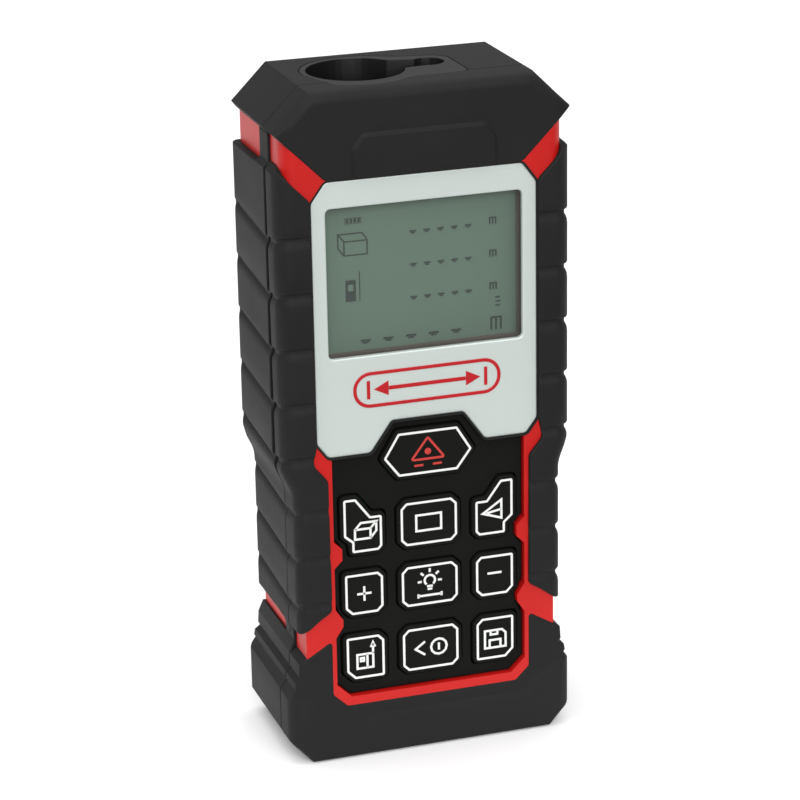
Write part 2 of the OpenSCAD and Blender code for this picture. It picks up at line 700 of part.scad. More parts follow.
// The door swings out on two hooks that reach under the shell below it.
module battery_door() color("#2b2c2b") difference() {
    union() {
        slab(door_y[0], door_y[1]) span(door_half, door_z);
        for (s = [-1, 1]) translate([s * hook_x - 2, 0, 0]) {
            translate([0, door_y[0] - 1.3, door_z[0]]) cube([4, 1.4, 0.6]);
            translate([0, door_y[0] - 1.3, door_z[0] - 1.9]) cube([4, 0.9, 2.5]);
        }
    }
    // Finger scoop and grip lines by the catch.
    for (i = [0:4]) slab(shell_back - 0.4, back)
        translate([-6, door_z[1] - 4 - 1.6 * i]) square([12, 0.8]);
    for (s = [-1, 1]) slab(door_y[0] - 1, back)
        translate([s * 8.5 - 0.3, door_z[1] - 12]) square([0.6, 13]);
}

// ---- Fixings ----

module housing_screws() color("#55585c") pairs(screw_at) difference() {
    union() {
        rod(0, 0, screw_r, part_y - 3, screw_head_y + eps);
        rod(0, 0, 2.2, screw_head_y, screw_head_y + 1.7);
    }
    translate([0, screw_head_y + 1.8, 0]) rotate([90, 0, 0]) cylinder(r = 1.1, h = 1, $fn = 6);
}

module screw_inserts() color("#c9a24b") pairs(screw_at) difference() {
    rod(0, 0, insert_r - 0.02, part_y - 3.2, part_y - 0.1);
    rod(0, 0, screw_r + 0.02, part_y - 4, part_y + 1);
}

module board_screws() color("#55585c") pairs(board_screw_at) {
    rod(0, 0, 0.9, board_y[0] - 2.8, board_y[1] + eps);
    rod(0, 0, 1.8, board_y[1], board_y[1] + 1.1);
}

module tripod_bush() color("#c9a24b") difference() {
    rod(0, bush_z, bush_r, shell_back - bush_l, shell_back);
    rod(0, bush_z, bush_core_r, shell_back - bush_l - 1, shell_back + 1);
}

front_housing();
rear_housing();
front_top_cap();
front_grip_left();
front_grip_right();
front_bumper();
rear_top_cap();
rear_grip_left();
rear_grip_right();
rear_bumper();
display_bezel();
display_window();
window_gasket();
lcd_panel();
lcd_frame();
backlight();
lcd_connector();
keypad_sheet();
main_board();
contact_pads();
board_chips();
optics_cover();
optics_chassis();
receiver_lens();
lens_ring();
laser_window();
collimator_lens();
laser_module();
receiver_board();
receiver_sensor();
optics_flex();
buzzer();
battery_left();
battery_right();
battery_springs();
battery_plates();
door_seal();
housing_screws();
screw_inserts();
board_screws();
tripod_bush();
battery_door();
key_measure();
key_volume();
key_area();
key_pythagoras();
key_plus();
key_light();
key_minus();
key_reference();
key_clear();
key_storage();
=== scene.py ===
# The visual model of a hand-held laser distance meter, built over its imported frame.
# Lengths are worked out in millimetres and turned into metres as each vertex is made.
import math
import bmesh
import bpy
import numpy as np
from mathutils import Matrix, Vector
from mathutils.geometry import delaunay_2d_cdt


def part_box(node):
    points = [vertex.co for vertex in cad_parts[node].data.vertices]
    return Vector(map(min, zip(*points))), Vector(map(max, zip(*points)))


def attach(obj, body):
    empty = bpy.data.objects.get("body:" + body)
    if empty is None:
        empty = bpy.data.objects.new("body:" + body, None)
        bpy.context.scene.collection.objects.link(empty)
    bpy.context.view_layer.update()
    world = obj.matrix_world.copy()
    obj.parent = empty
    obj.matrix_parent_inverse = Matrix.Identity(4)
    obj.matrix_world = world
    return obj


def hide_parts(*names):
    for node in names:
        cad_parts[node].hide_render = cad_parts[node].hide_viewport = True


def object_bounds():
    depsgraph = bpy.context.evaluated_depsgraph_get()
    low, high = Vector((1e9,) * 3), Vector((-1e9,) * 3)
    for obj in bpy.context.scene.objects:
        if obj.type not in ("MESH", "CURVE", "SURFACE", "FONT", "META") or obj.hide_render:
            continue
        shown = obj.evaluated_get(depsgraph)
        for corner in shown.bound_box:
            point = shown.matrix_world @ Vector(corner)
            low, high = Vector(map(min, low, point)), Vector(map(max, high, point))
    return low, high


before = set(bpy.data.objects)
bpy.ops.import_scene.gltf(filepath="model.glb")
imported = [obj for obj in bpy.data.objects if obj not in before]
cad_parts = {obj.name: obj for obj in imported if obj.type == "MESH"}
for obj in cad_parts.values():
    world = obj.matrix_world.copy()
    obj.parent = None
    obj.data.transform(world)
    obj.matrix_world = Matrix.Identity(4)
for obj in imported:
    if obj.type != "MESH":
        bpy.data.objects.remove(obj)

MM = 0.001
for leftover in ("Cube", "Light", "Camera"):
    if leftover in bpy.data.objects:
        bpy.data.objects.remove(bpy.data.objects[leftover])
cad_bounds = [list(corner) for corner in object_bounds()]


def span_of(node):
    """A CAD node's lowest and highest corners, in millimetres."""
    low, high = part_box(node)
    return [c / MM for c in low], [c / MM for c in high]


# ---- The body's main sizes, from the frame ----

HALF = cad_bounds[1][0] / MM
FRONT = cad_bounds[0][1] / MM
BACK = cad_bounds[1][1] / MM
TOP = cad_bounds[1][2] / MM
PART_Y = span_of("rear_bumper")[0][1]
SHELL_FRONT = span_of("front_housing")[0][1]
SHELL_BACK = span_of("rear_housing")[1][1]
SHELL_TOP = span_of("rear_housing")[1][2]
SHELL_HALF = span_of("rear_housing")[1][0]
FACE_SKIN = SHELL_FRONT - FRONT
SIDE_SKIN = HALF - SHELL_HALF
BAND_LOW = span_of("rear_grip_right")[0][2]
BAND_TOP = span_of("rear_top_cap")[0][2]
GRIP_LOW = span_of("front_grip_right")[0][2]
FRONT_R, REAR_R = 3.0, 1.5
CHAMFER = 6.5
WAIST_CUT = 2.0
WAIST = (25.4, 51.8)
FLARE = 56.1
GRIP_TOP = TOP - 13.8
STRIP = 5.3

# ---- Flat outlines ----


def mirrored(right):
    """An outline from its right half, closed by its mirror image."""
    return list(right) + [(-p[0],) + tuple(p[1:]) for p in reversed(right)]


def sides(loop):
    """Each point with the one after it, round the loop."""
    return zip(loop, loop[1:] + loop[:1])


def rounded(points, radius=0.0, steps=4):
    """The outline with its corners rounded; a point's third value is its own radius."""
    out = []
    for i, point in enumerate(points):
        here = Vector(point[:2])
        r = point[2] if len(point) > 2 else radius
        before = Vector(points[i - 1][:2]) - here
        after = Vector(points[(i + 1) % len(points)][:2]) - here
        bend = before.angle(after)
        if r <= 0 or bend > math.pi - 0.03:
            out.append(tuple(here))
            continue
        reach = min(r / math.tan(bend / 2), 0.48 * before.length, 0.48 * after.length)
        r = reach * math.tan(bend / 2)
        halfway = (before.normalized() + after.normalized()).normalized()
        middle = here + halfway * r / math.sin(bend / 2)
        start = here + before.normalized() * reach - middle
        turn = math.pi - bend
        if before.x * after.y - before.y * after.x > 0:
            turn = -turn
        for k in range(steps + 1):
            a = turn * k / steps
            out.append((middle.x + start.x * math.cos(a) - start.y * math.sin(a),
                        middle.y + start.x * math.sin(a) + start.y * math.cos(a)))
    return out


def tidy(loop, least=0.01):
    """The outline without points that almost coincide."""
    out = []
    for p in loop:
        if not out or (Vector(p) - Vector(out[-1])).length > least:
            out.append(p)
    if (Vector(out[0]) - Vector(out[-1])).length < least:
        out.pop()
    return out


def divided(loop, step):
    """The outline with no edge longer than the step."""
    out = []
    for start, end in sides(loop):
        a, b = Vector(start), Vector(end)
        n = max(1, math.ceil((b - a).length / step))
        out += [tuple(a.lerp(b, k / n)) for k in range(n)]
    return out


def area(loop):
    return sum(a[0] * b[1] - b[0] * a[1] for a, b in sides(loop)) / 2


def wound(loop, left):
    """The loop turning left, or right where left is false."""
    return list(loop) if (area(loop) > 0) == left else list(reversed(loop))


def corner_shift(before, here, after, d_in, d_out):
    """How a corner moves when the edges into and out of it move out by their own distances."""
    a, b = (here - before).normalized(), (after - here).normalized()
    n1, n2 = Vector((a.y, -a.x)), Vector((b.y, -b.x))
    det = n1.x * n2.y - n1.y * n2.x
    if abs(det) < 0.04:
        return (n1 + n2).normalized() * (d_in + d_out) / 2
    return Vector((d_in * n2.y - d_out * n1.y, n1.x * d_out - n2.x * d_in)) / det


def drawn_in(loop, insets):
    """The outline with each edge moved in by its own distance. An edge that closes up is
    dropped. Returns the corners and the distance of the edge that leaves each one."""
    edges = [(Vector(a), Vector(b), d) for (a, b), d in zip(sides(loop), insets)]

    def meeting(e, f):
        (a1, b1, d1), (a2, b2, d2) = e, f
        u, v = (b1 - a1).normalized(), (b2 - a2).normalized()
        n, m = Vector((u.y, -u.x)), Vector((v.y, -v.x))
        det = n.x * m.y - n.y * m.x
        if abs(det) < 0.02:
            return (b1 - n * d1 + a2 - m * d2) / 2
        k, l = n.dot(a1) - d1, m.dot(a2) - d2
        return Vector((k * m.y - l * n.y, n.x * l - m.x * k)) / det

    while True:
        corners = [meeting(edges[i - 1], edges[i]) for i in range(len(edges))]
        lengths = [(corners[(i + 1) % len(edges)] - corners[i]).dot((e[1] - e[0]).normalized())
                   for i, e in enumerate(edges)]
        worst = min(range(len(edges)), key=lengths.__getitem__)
        if lengths[worst] > 0.003 or len(edges) < 4:
            return corners, [e[2] for e in edges]
        del edges[worst]


def grown(loop, by):
    """The outline moved outwards by a distance, or inwards if it is negative."""
    loop = wound(loop, True)
    at = [Vector(p) for p in loop]
    return [tuple(p + corner_shift(at[i - 1], p, at[(i + 1) % len(at)], by, by))
            for i, p in enumerate(at)]


def circle(x, y, r, count):
    return [(x + r * math.cos(2 * math.pi * k / count), y + r * math.sin(2 * math.pi * k / count))
            for k in range(count)]


def box(x0, z0, x1, z1):
    return [(x0, z0), (x1, z0), (x1, z1), (x0, z1)]


def arc(x, z, r, angles):
    """Points on a circle, at angles in degrees from straight up."""
    return [(x + r * math.sin(a), z + r * math.cos(a)) for a in map(math.radians, angles)]


def stroke(points, width):
    """The outline of a line of that width along an open row of points."""
    at = [Vector(p[:2]) for p in points]
    first, last = at[0] * 2 - at[1], at[-1] * 2 - at[-2]
    chain = [first] + at + [last]
    side = [corner_shift(chain[i], chain[i + 1], chain[i + 2], width / 2, width / 2)
            for i in range(len(at))]
    return ([tuple(p + s) for p, s in zip(at, side)]
            + [tuple(p - s) for p, s in reversed(list(zip(at, side)))])


def inside(x, y, loop):
    """Whether a point lies inside the loop."""
    found = False
    for (x1, y1), (x2, y2) in sides(loop):
        if (y1 > y) != (y2 > y) and x < (x2 - x1) * (y - y1) / (y2 - y1) + x1:
            found = not found
    return found


def triangulated(loops, creases):
    """Points and triangles that fill the first loop outside the others, along the creases."""
    points, edges, borders = [], [], 0
    for line, closed in [(loop, True) for loop in loops] + [(line, False) for line in creases]:
        first, n = len(points), len(line)
        points += [Vector(p) for p in line]
        edges += [(first + i, first + (i + 1) % n) for i in range(n if closed else n - 1)]
        borders += n if closed else 0
    found, links, faces, _, sources, _ = delaunay_2d_cdt(points, edges, [], 0, 1e-5)
    rim = {frozenset(e) for e, origins in zip(links, sources) if any(k < borders for k in origins)}
    owners = {}
    for i, f in enumerate(faces):
        for k in range(3):
            owners.setdefault(frozenset((f[k], f[(k + 1) % 3])), []).append(i)
    # Work inwards from the hull; the material starts and ends at each outline edge.
    solid, queue = {}, []
    for link, pair in owners.items():
        if len(pair) == 1 and pair[0] not in solid:
            solid[pair[0]] = link in rim
            queue.append(pair[0])
    while queue:
        i = queue.pop()
        f = faces[i]
        for k in range(3):
            link = frozenset((f[k], f[(k + 1) % 3]))
            for j in owners[link]:
                if j not in solid:
                    solid[j] = solid[i] != (link in rim)
                    queue.append(j)
    faces = [tuple(f) for i, f in enumerate(faces) if solid[i]]
    used = sorted({k for f in faces for k in f})
    place = {k: i for i, k in enumerate(used)}
    return [tuple(found[k]) for k in used], [tuple(place[k] for k in f) for f in faces]


def rims(faces):
    """The closed rows of vertices round a set of faces, each with the faces on its left."""
    links = {(f[i], f[(i + 1) % 3]) for f in faces for i in range(3)}
    follow = {}
    for a, b in links:
        if (b, a) not in links:
            follow.setdefault(a, []).append(b)
    out = []
    while follow:
        start = at = next(iter(follow))
        row = []
        while True:
            row.append(at)
            after = follow[at].pop()
            if not follow[at]:
                del follow[at]
            at = after
            if at == start:
                break
        out.append(row)
    return out


# ---- Solids from outlines ----

EDGE = 0.07  # a narrow flat border that keeps the face's shading flat up to its lip
SHARP_ANGLE = math.radians(32)


def edge_distance(p, a, b):
    ab = b - a
    t = max(0.0, min(1.0, (p - a).dot(ab) / max(ab.length_squared, 1e-12)))
    return (p - a - ab * t).length


def add_plate(mesh, loops, place, lip=0.3, wall=((0, 1.0),), hole_wall=None, relief=None,
              creases=(), steps=3, edge=EDGE):
    """Adds a closed plate to a bmesh. Its outline and holes are in two flat coordinates, and
    place(u, v, depth) is the point that lies that deep below its face. The lip is the radius of
    the edge, one number or a function of u and v. The wall is a row of (move out, depth)."""
    radius = lip if callable(lip) else lambda u, v: lip
    shaped, borders = [], []
    for index, loop in enumerate(loops):
        at = wound(tidy(loop), index == 0)
        lips = [radius((p[0] + q[0]) / 2, (p[1] + q[1]) / 2) for p, q in sides(at)]
        moved, insets = drawn_in(at, [l + edge for l in lips])
        shaped.append([tuple(p) for p in moved])
        borders += [(moved[i], moved[(i + 1) % len(moved)], insets[i] - edge)
                    for i in range(len(moved))]
    points, faces = triangulated(shaped, creases)
    depths = [relief(*p) if relief else 0.0 for p in points]

    def vertex(u, v, depth):
        return mesh.verts.new(Vector(place(u, v, depth)) * MM)

    face_verts = [vertex(*p, d) for p, d in zip(points, depths)]
    back_verts = {}
    for f in faces:
        mesh.faces.new([face_verts[k] for k in f])
    for row in rims(faces):
        at = [Vector(points[k]) for k in row]
        n = len(row)
        program = wall if area([tuple(p) for p in at]) > 0 else (hole_wall or wall)
        lips = []
        for i in range(n):
            middle = (at[i] + at[(i + 1) % n]) / 2
            lips.append(min(borders, key=lambda b: edge_distance(middle, b[0], b[1]))[2])
        last = [face_verts[k] for k in row]
        stages = [(-1.0, 0.0)] + [(math.sin(k / steps * math.pi / 2) - 1,
                                   1 - math.cos(k / steps * math.pi / 2))
                                  for k in range(1, steps + 1)]
        for stage in [("lip", s) for s in stages] + [("wall", w) for w in program]:
            ring = []
            for i, p in enumerate(at):
                l1, l2 = lips[i - 1], lips[i]
                kind, (out, down) = stage
                if kind == "lip":
                    d1, d2 = out * l1, out * l2
                    depth = down * (l1 + l2) / 2 + depths[row[i]]
                else:
                    d1 = d2 = out
                    depth = down(p.x, p.y) if callable(down) else down
                q = p + corner_shift(at[i - 1], p, at[(i + 1) % n], d1 + l1 + edge, d2 + l2 + edge)
                ring.append(vertex(q.x, q.y, depth))
            for i in range(n):
                j = (i + 1) % n
                mesh.faces.new([last[i], ring[i], ring[j], last[j]])
            last = ring
        back_verts.update(zip(row, last))
    down = wall[-1][1]
    for k, p in enumerate(points):
        if k not in back_verts:
            back_verts[k] = vertex(*p, down(*p) if callable(down) else down)
    for f in faces:
        mesh.faces.new([back_verts[k] for k in reversed(f)])


def facing_front(y):
    return lambda x, z, depth: (x, y + depth, z)


def facing_back(y):
    return lambda x, z, depth: (x, y - depth, z)


def facing_up(z):
    return lambda x, y, depth: (x, y, z - depth)


def add_rod(mesh, start, end, r, bevel=0.0, count=32):
    """Adds a closed round rod between two points, with its two rims eased by the bevel."""
    a, b = Vector(start), Vector(end)
    axis = (b - a).normalized()
    side = axis.orthogonal().normalized()
    up = axis.cross(side)
    length = (b - a).length
    rows = [(0, r - bevel), (bevel, r), (length - bevel, r), (length, r - bevel)]
    if bevel <= 0:
        rows = [(0, r), (length, r)]
    rings = []
    for t, radius in rows:
        rings.append([mesh.verts.new((a + axis * t + (side * math.cos(2 * math.pi * k / count)
                      + up * math.sin(2 * math.pi * k / count)) * radius) * MM)
                      for k in range(count)])
    mesh.faces.new(list(reversed(rings[0])))
    mesh.faces.new(rings[-1])
    for low, high in zip(rings, rings[1:]):
        for k in range(count):
            mesh.faces.new([low[k], low[(k + 1) % count], high[(k + 1) % count], high[k]])


def added(name, data):
    obj = bpy.data.objects.new(name, data)
    bpy.context.scene.collection.objects.link(obj)
    return obj


def settled(mesh, name):
    """The bmesh as an object with outward faces and creases that stay sharp."""
    bmesh.ops.remove_doubles(mesh, verts=mesh.verts, dist=1e-7)
    bmesh.ops.dissolve_degenerate(mesh, edges=mesh.edges, dist=1e-7)
    bmesh.ops.recalc_face_normals(mesh, faces=mesh.faces)
    data = bpy.data.meshes.new(name)
    mesh.to_mesh(data)
    mesh.free()
    data.shade_smooth()
    data.set_sharp_from_angle(angle=SHARP_ANGLE)
    return added(name, data)


def plate(name, *args, **kwargs):
    mesh = bmesh.new()
    add_plate(mesh, *args, **kwargs)
    return settled(mesh, name)


def cutter(name, loop, place, depth):
    """A sharp-edged column for a cut."""
    return plate(name, [loop], place, lip=0.01, wall=((0, depth),), steps=1)


def cut(obj, *tools, operation="DIFFERENCE"):
    """Cuts the tools out of the object, or keeps what lies in them, and removes them."""
    for tool in tools:
        step = obj.modifiers.new("cut", "BOOLEAN")
        step.object = tool
        step.operation = operation
        step.solver, step.use_self = "EXACT", True
    shape = obj.evaluated_get(bpy.context.evaluated_depsgraph_get())
    data = bpy.data.meshes.new_from_object(shape)
    obj.modifiers.clear()
    obj.data = data
    mesh = bmesh.new()
    mesh.from_mesh(data)
    bmesh.ops.remove_doubles(mesh, verts=mesh.verts, dist=2e-6)
    mesh.to_mesh(data)
    mesh.free()
    data.shade_smooth()
    data.set_sharp_from_angle(angle=SHARP_ANGLE)
    for tool in tools:
        bpy.data.objects.remove(tool)
    return obj


def fit(obj, material, body="meter", nodes=()):
    """Gives a finished piece its material and its body, and hides the CAD nodes that it stands for.
    """
    obj.data.materials.clear()
    obj.data.materials.append(material)
    if nodes:
        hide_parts(*nodes)
    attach(obj, body)


def fit_rubber(obj, *nodes):
    fit(obj, FINISHES["rubber"], nodes=nodes)


# ---- Materials ----


class Tint:
    """A colour or vector socket."""

    def __init__(self, kit, socket):
        self.kit, self.socket = kit, socket


class Level(Tint):
    """A number socket; arithmetic on it adds Math nodes."""

    def _math(self, operation, a, b):
        return Level(self.kit, self.kit.node("ShaderNodeMath", "Value", operation=operation,
                                             inputs=(a, b)).socket)

    def __add__(self, other): return self._math("ADD", self, other)
    def __radd__(self, other): return self._math("ADD", other, self)
    def __sub__(self, other): return self._math("SUBTRACT", self, other)
    def __rsub__(self, other): return self._math("SUBTRACT", other, self)
    def __mul__(self, other): return self._math("MULTIPLY", self, other)
    def __truediv__(self, other): return self._math("DIVIDE", self, other)
    def lowest(self, other): return self._math("MINIMUM", self, other)
    def highest(self, other): return self._math("MAXIMUM", self, other)


class Finish:
    """A material under construction."""

    def __init__(self, name, colour, **fixed):
        self.material = bpy.data.materials.new(name)
        self.material.use_nodes = True
        self.tree = self.material.node_tree
        self.shader = next(n for n in self.tree.nodes if n.type == "BSDF_PRINCIPLED")
        self.set("Base Color", (*colour, 1.0))
        for key, value in fixed.items():
            self.set(key.replace("_", " ").title().replace("Ior", "IOR"), value)

    def set(self, name, value):
        socket = self.shader.inputs[name]
        if isinstance(value, Tint):
            self.tree.links.new(value.socket, socket)
        else:
            socket.default_value = value

    def node(self, kind, output, inputs=(), **settings):
        """Adds a node: its settings first, then the values or links of its inputs."""
        node = self.tree.nodes.new(kind)
        for key, value in settings.items():
            setattr(node, key, value)
        pairs = inputs.items() if isinstance(inputs, dict) else enumerate(inputs)
        for key, value in pairs:
            if isinstance(value, Tint):
                self.tree.links.new(value.socket, node.inputs[key])
            else:
                node.inputs[key].default_value = value
        return Tint(self, node.outputs[output])

    def place(self):
        return self.node("ShaderNodeTexCoord", "Object")

    def noise(self, scale, detail=2.0, rough=0.5, stretch=(1, 1, 1)):
        at = self.place()
        if stretch != (1, 1, 1):
            at = self.node("ShaderNodeMapping", "Vector", {"Vector": at, "Scale": stretch})
        found = self.node("ShaderNodeTexNoise", "Fac", {"Vector": at, "Scale": scale,
                          "Detail": detail, "Roughness": rough})
        return Level(self, found.socket)

    def tint(self, factor, a, b):
        """Feeds Base Color with colour a turning into colour b by a factor."""
        self.set("Base Color", self.node("ShaderNodeMix", 2, {0: factor, 6: a, 7: b},
                                         data_type="RGBA"))

    def bumps(self, *layers):
        """Feeds Normal from a row of (height, strength, distance)."""
        normal = None
        for height, strength, distance in layers:
            inputs = {"Height": height, "Strength": strength, "Distance": distance}
            if normal:
                inputs["Normal"] = normal
            normal = self.node("ShaderNodeBump", "Normal", inputs)
        self.set("Normal", normal)


def linear(r, g, b):
    """A screen colour, 0 to 255, as the light that it stands for."""
    return tuple(c / 12.92 if c <= 0.04045 else ((c + 0.055) / 1.055) ** 2.4
                 for c in (r / 255, g / 255, b / 255))


def shade(colour, by=1.0, lift=0.0):
    """A screen colour made darker or paler, for a colour socket."""
    return tuple(min(1, c * by + lift) for c in linear(*colour)) + (1.0,)


def rubber(name, colour):
    m = Finish(name, linear(*colour), roughness=0.62, specular_ior_level=0.2)
    cloud = m.noise(55.0, 3.0)
    fine = m.noise(5200.0, 2.0, 0.6)
    m.tint(cloud, shade(colour, 0.82), shade(colour, 1.25, 0.002))
    m.set("Roughness", 0.5 + cloud * 0.16 + fine * 0.1)
    m.bumps((fine, 0.22, 0.00008), (m.noise(900.0, 2.0), 0.12, 0.0002))
    return m.material


def red_plastic(name, colour):
    m = Finish(name, linear(*colour), specular_ior_level=0.35)
    cloud, fine = m.noise(70.0), m.noise(4200.0, 2.0)
    m.tint(cloud, shade(colour, 0.9), shade(colour, 1.1))
    m.set("Roughness", 0.34 + fine * 0.12 + cloud * 0.06)
    m.bumps((fine, 0.12, 0.00006))
    return m.material


def bezel_paint():
    m = Finish("silver_painted_bezel", linear(207, 215, 211), metallic=0.35,
               specular_ior_level=0.5)
    flake, cloud = m.noise(9000.0, 1.0), m.noise(40.0)
    m.tint(flake, shade((196, 205, 200)), shade((217, 225, 221)))
    m.set("Roughness", 0.36 + flake * 0.1 + cloud * 0.06)
    m.bumps((flake, 0.08, 0.00004))
    return m.material


def silicone(name, colour):
    m = Finish(name, linear(*colour), specular_ior_level=0.07)
    fine, cloud = m.noise(6500.0, 2.0), m.noise(80.0)
    m.tint(cloud, shade(colour, 0.85), shade(colour, 1.15))
    m.set("Roughness", 0.58 + fine * 0.12)
    m.bumps((fine, 0.14, 0.00005))
    return m.material


def ink(name, colour, rough=0.5):
    m = Finish(name, linear(*colour))
    worn = m.noise(2600.0, 3.0)
    m.tint(worn, shade(colour, 0.86), shade(colour))
    m.set("Roughness", rough + worn * 0.1)
    return m.material


def plain(name, colour, rough=0.5, metallic=0.0, grain=3000.0, depth=0.00005, stretch=(1, 1, 1),
          change=0.12, **fixed):
    """A moulded or cast finish with a fine grain and a slow change of tone."""
    m = Finish(name, linear(*colour), metallic=metallic, **fixed)
    fine, cloud = m.noise(grain, 2.0, stretch=stretch), m.noise(120.0)
    m.tint(cloud, shade(colour, 1 - change), shade(colour, 1 + change))
    m.set("Roughness", rough + fine * 0.12 - 0.06)
    m.bumps((fine, 0.15, depth))
    return m.material


def glass(name, colour, rough, grain, **fixed):
    m = Finish(name, linear(*colour), **fixed)
    m.set("Roughness", rough + m.noise(grain) * 0.03)
    return m.material


def display_face():
    """The liquid crystal layer: grey green, with a painted reflection: a little paler towards the
    upper left and darker towards the lower right.
    """
    m = Finish("liquid_crystal_face", linear(85, 107, 91), specular_ior_level=0.3)
    at = m.place()
    x, z = (Level(m, m.node("ShaderNodeSeparateXYZ", way, (at,)).socket) for way in "XZ")
    low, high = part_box("lcd_panel")
    across = (x - low.x) / (high.x - low.x)
    down = (high.z - z) / (high.z - low.z)
    # Painted reflection of the window: the mix runs from paler at the upper left to darker at the
    # lower right.
    painted_reflection_mix = (across * 0.45 + down * 0.55).lowest(1.0).highest(0.0)
    m.tint(painted_reflection_mix, shade((100, 121, 106)), shade((90, 110, 97)))
    m.set("Roughness", 0.3 + m.noise(300.0) * 0.06)
    return m.material


FINISHES = {
    "red": red_plastic("red_moulded_plastic", (188, 18, 14)),
    "rubber": rubber("black_rubber_skin", (22, 23, 22)),
    "bezel": bezel_paint(),
    "silicone": silicone("keypad_silicone_sheet", (20, 21, 19)),
    "white_ink": ink("white_key_print", (236, 238, 234)),
    "red_ink": ink("red_key_print", (196, 52, 44)),
    "segment": ink("display_segment", (34, 44, 40), 0.35),
    "badge": plain("badge_enamel", (178, 24, 32), 0.2, grain=1500.0),
    "cover": plain("gloss_black_cover", (15, 16, 15), 0.36, grain=2500.0, specular_ior_level=0.25),
    "window": glass("clear_display_window", (140, 150, 145), 0.03, 60.0, roughness=0.04,
                    alpha=0.08, specular_ior_level=0.5, ior=1.49),
    "lens": glass("coated_lens_glass", (26, 22, 44), 0.05, 90.0, coat_weight=1.0,
                  coat_roughness=0.03, specular_ior_level=0.7, ior=1.52),
    "lcd": display_face(),
    "gasket": plain("window_gasket_foam", (74, 64, 58), 0.8, grain=2600.0, depth=0.0002),
    "frame": plain("display_frame_plastic", (92, 80, 74), 0.55, specular_ior_level=0.2),
    "board": plain("green_circuit_board", (24, 92, 50), 0.35, grain=900.0),
    "gold": plain("gold_plated_pads", (214, 170, 82), 0.3, 1.0),
    "chip": plain("moulded_chip_case", (26, 26, 28), 0.55, grain=4000.0),
    "cast": plain("cast_alloy_block", (146, 149, 152), 0.5, 0.9, grain=1200.0, depth=0.0002),
    "brass": plain("turned_brass", (201, 162, 75), 0.28, 1.0, grain=2500.0,
                   stretch=(1, 12, 1)),
    "nickel": plain("nickel_plated_steel", (188, 190, 194), 0.25, 1.0),
    "steel": plain("zinc_plated_screw_steel", (120, 123, 128), 0.34, 1.0, grain=2200.0),
    "flex": plain("flexible_film_cable", (176, 108, 42), 0.4, grain=800.0, stretch=(1, 1, 6)),
    "sleeve": plain("cell_sleeve_film", (46, 92, 140), 0.22, grain=500.0),
    "strip": plain("conductive_rubber_strip", (226, 150, 150), 0.7),
    "diffuser": plain("white_light_diffuser", (238, 240, 234), 0.6),
    "door": plain("battery_door_plastic", (40, 41, 40), 0.55, grain=3200.0, depth=0.00012),
}

# ---- The shape of the rubber body ----

PROFILE = [(18.4, HALF - 3.0), (24.4, HALF - 2.8), (WAIST[0], HALF - WAIST_CUT),
           (WAIST[1], HALF - WAIST_CUT), (FLARE, HALF), (GRIP_TOP, HALF),
           (GRIP_TOP + 0.9, HALF - 0.9), (BAND_TOP, HALF - 0.9), (TOP - CHAMFER, HALF),
           (TOP, HALF - CHAMFER)]


def half_width(z):
    """Half the body's width at a height, in the region of the grips."""
    return float(np.interp(z, [p[0] for p in PROFILE], [p[1] for p in PROFILE]))


def eased_half(z):
    """Half the width with the bends of the waist rounded."""
    return sum(half_width(z + d) for d in (-1.2, -0.7, -0.2, 0.2, 0.7, 1.2)) / 6 \
        if WAIST[0] + 3 < z < GRIP_TOP - 3 else half_width(z)


FRONT_RUN = PART_Y - FRONT - FRONT_R          # straight side in front of the parting plane
REAR_RUN = BACK - REAR_R - PART_Y
FRONT_ARC = FRONT_R * math.pi / 2
REAR_ARC = REAR_R * math.pi / 2


def front_radius(half):
    """The upright corner tightens a little where the side is set in."""
    return FRONT_R - 0.4 * (HALF - half)


def girth_point(s, z, depth, side=1):
    """A point of the skin: s runs round the body from the parting plane, negative to the front
    and positive to the back, and depth goes inwards."""
    half, t = eased_half(z), abs(s)
    if s < 0:
        run, full, r, way, reach = FRONT_RUN, FRONT_R, front_radius(half), -1, PART_Y - FRONT
    else:
        run, full, r, way, reach = REAR_RUN, REAR_R, REAR_R, 1, BACK - PART_Y
    if t <= run:
        p, n = (half, PART_Y + way * (reach - r) * t / run), (1, 0)
    elif t <= run + full * math.pi / 2:
        a = (t - run) / full
        n = (math.cos(a), way * math.sin(a))
        p = (half - r + r * n[0], PART_Y + way * (reach - r + r * math.sin(a)))
    else:
        p = (half - r - (t - run - full * math.pi / 2), PART_Y + way * reach)
        n = (0, way)
    return (side * (p[0] - n[0] * depth), p[1] - n[1] * depth, z)


def front_girth(x, z):
    """Where a place on the front lies round the body. Past the body's half width, x counts on
    along the side."""
    half = eased_half(z)
    r = front_radius(half)
    if x >= half:
        return -FRONT_RUN + (x - half)
    if x > half - r:
        return -FRONT_RUN - FRONT_R * math.acos((x - half + r) / r)
    return -FRONT_RUN - FRONT_ARC - (half - r - x)


def girth_y(s):
    return girth_point(s, 80.0, 0.0)[1]


# ---- Grips with their grooves ----

PARTING_LIP = 0.24
TILT = math.tan(math.radians(4.5))
GROOVES = [FLARE + 1.5 + 10 * i for i in range(5)] + [FLARE + 0.4 - 8.9 * i for i in (1, 2, 3)]
GROOVE_SHAPE = [(-2.1, 0.0), (-1.4, 0.15), (-0.75, 0.6), (-0.42, 1.0), (0.28, 1.0), (0.55, 0.25),
                (0.9, 0.0)]


def groove_z(start, s):
    off = girth_y(s) - PART_Y
    return start + (TILT * off if off > 0 else -0.14 * off)


def groove_depth(s, z):
    """Deep on the side and shallow on the front and back; shallow too round the upright corner
    of the waist, where the shell lies close under the skin."""
    corner = 0.28 if z < FLARE else 0.5
    return float(np.interp(s, [-13.0, -10.8, -9.9, -6.6, -5.6, 18.4, 20.0],
                           [0.36, 0.4, corner, corner, 0.55, 0.55, 0.2]))


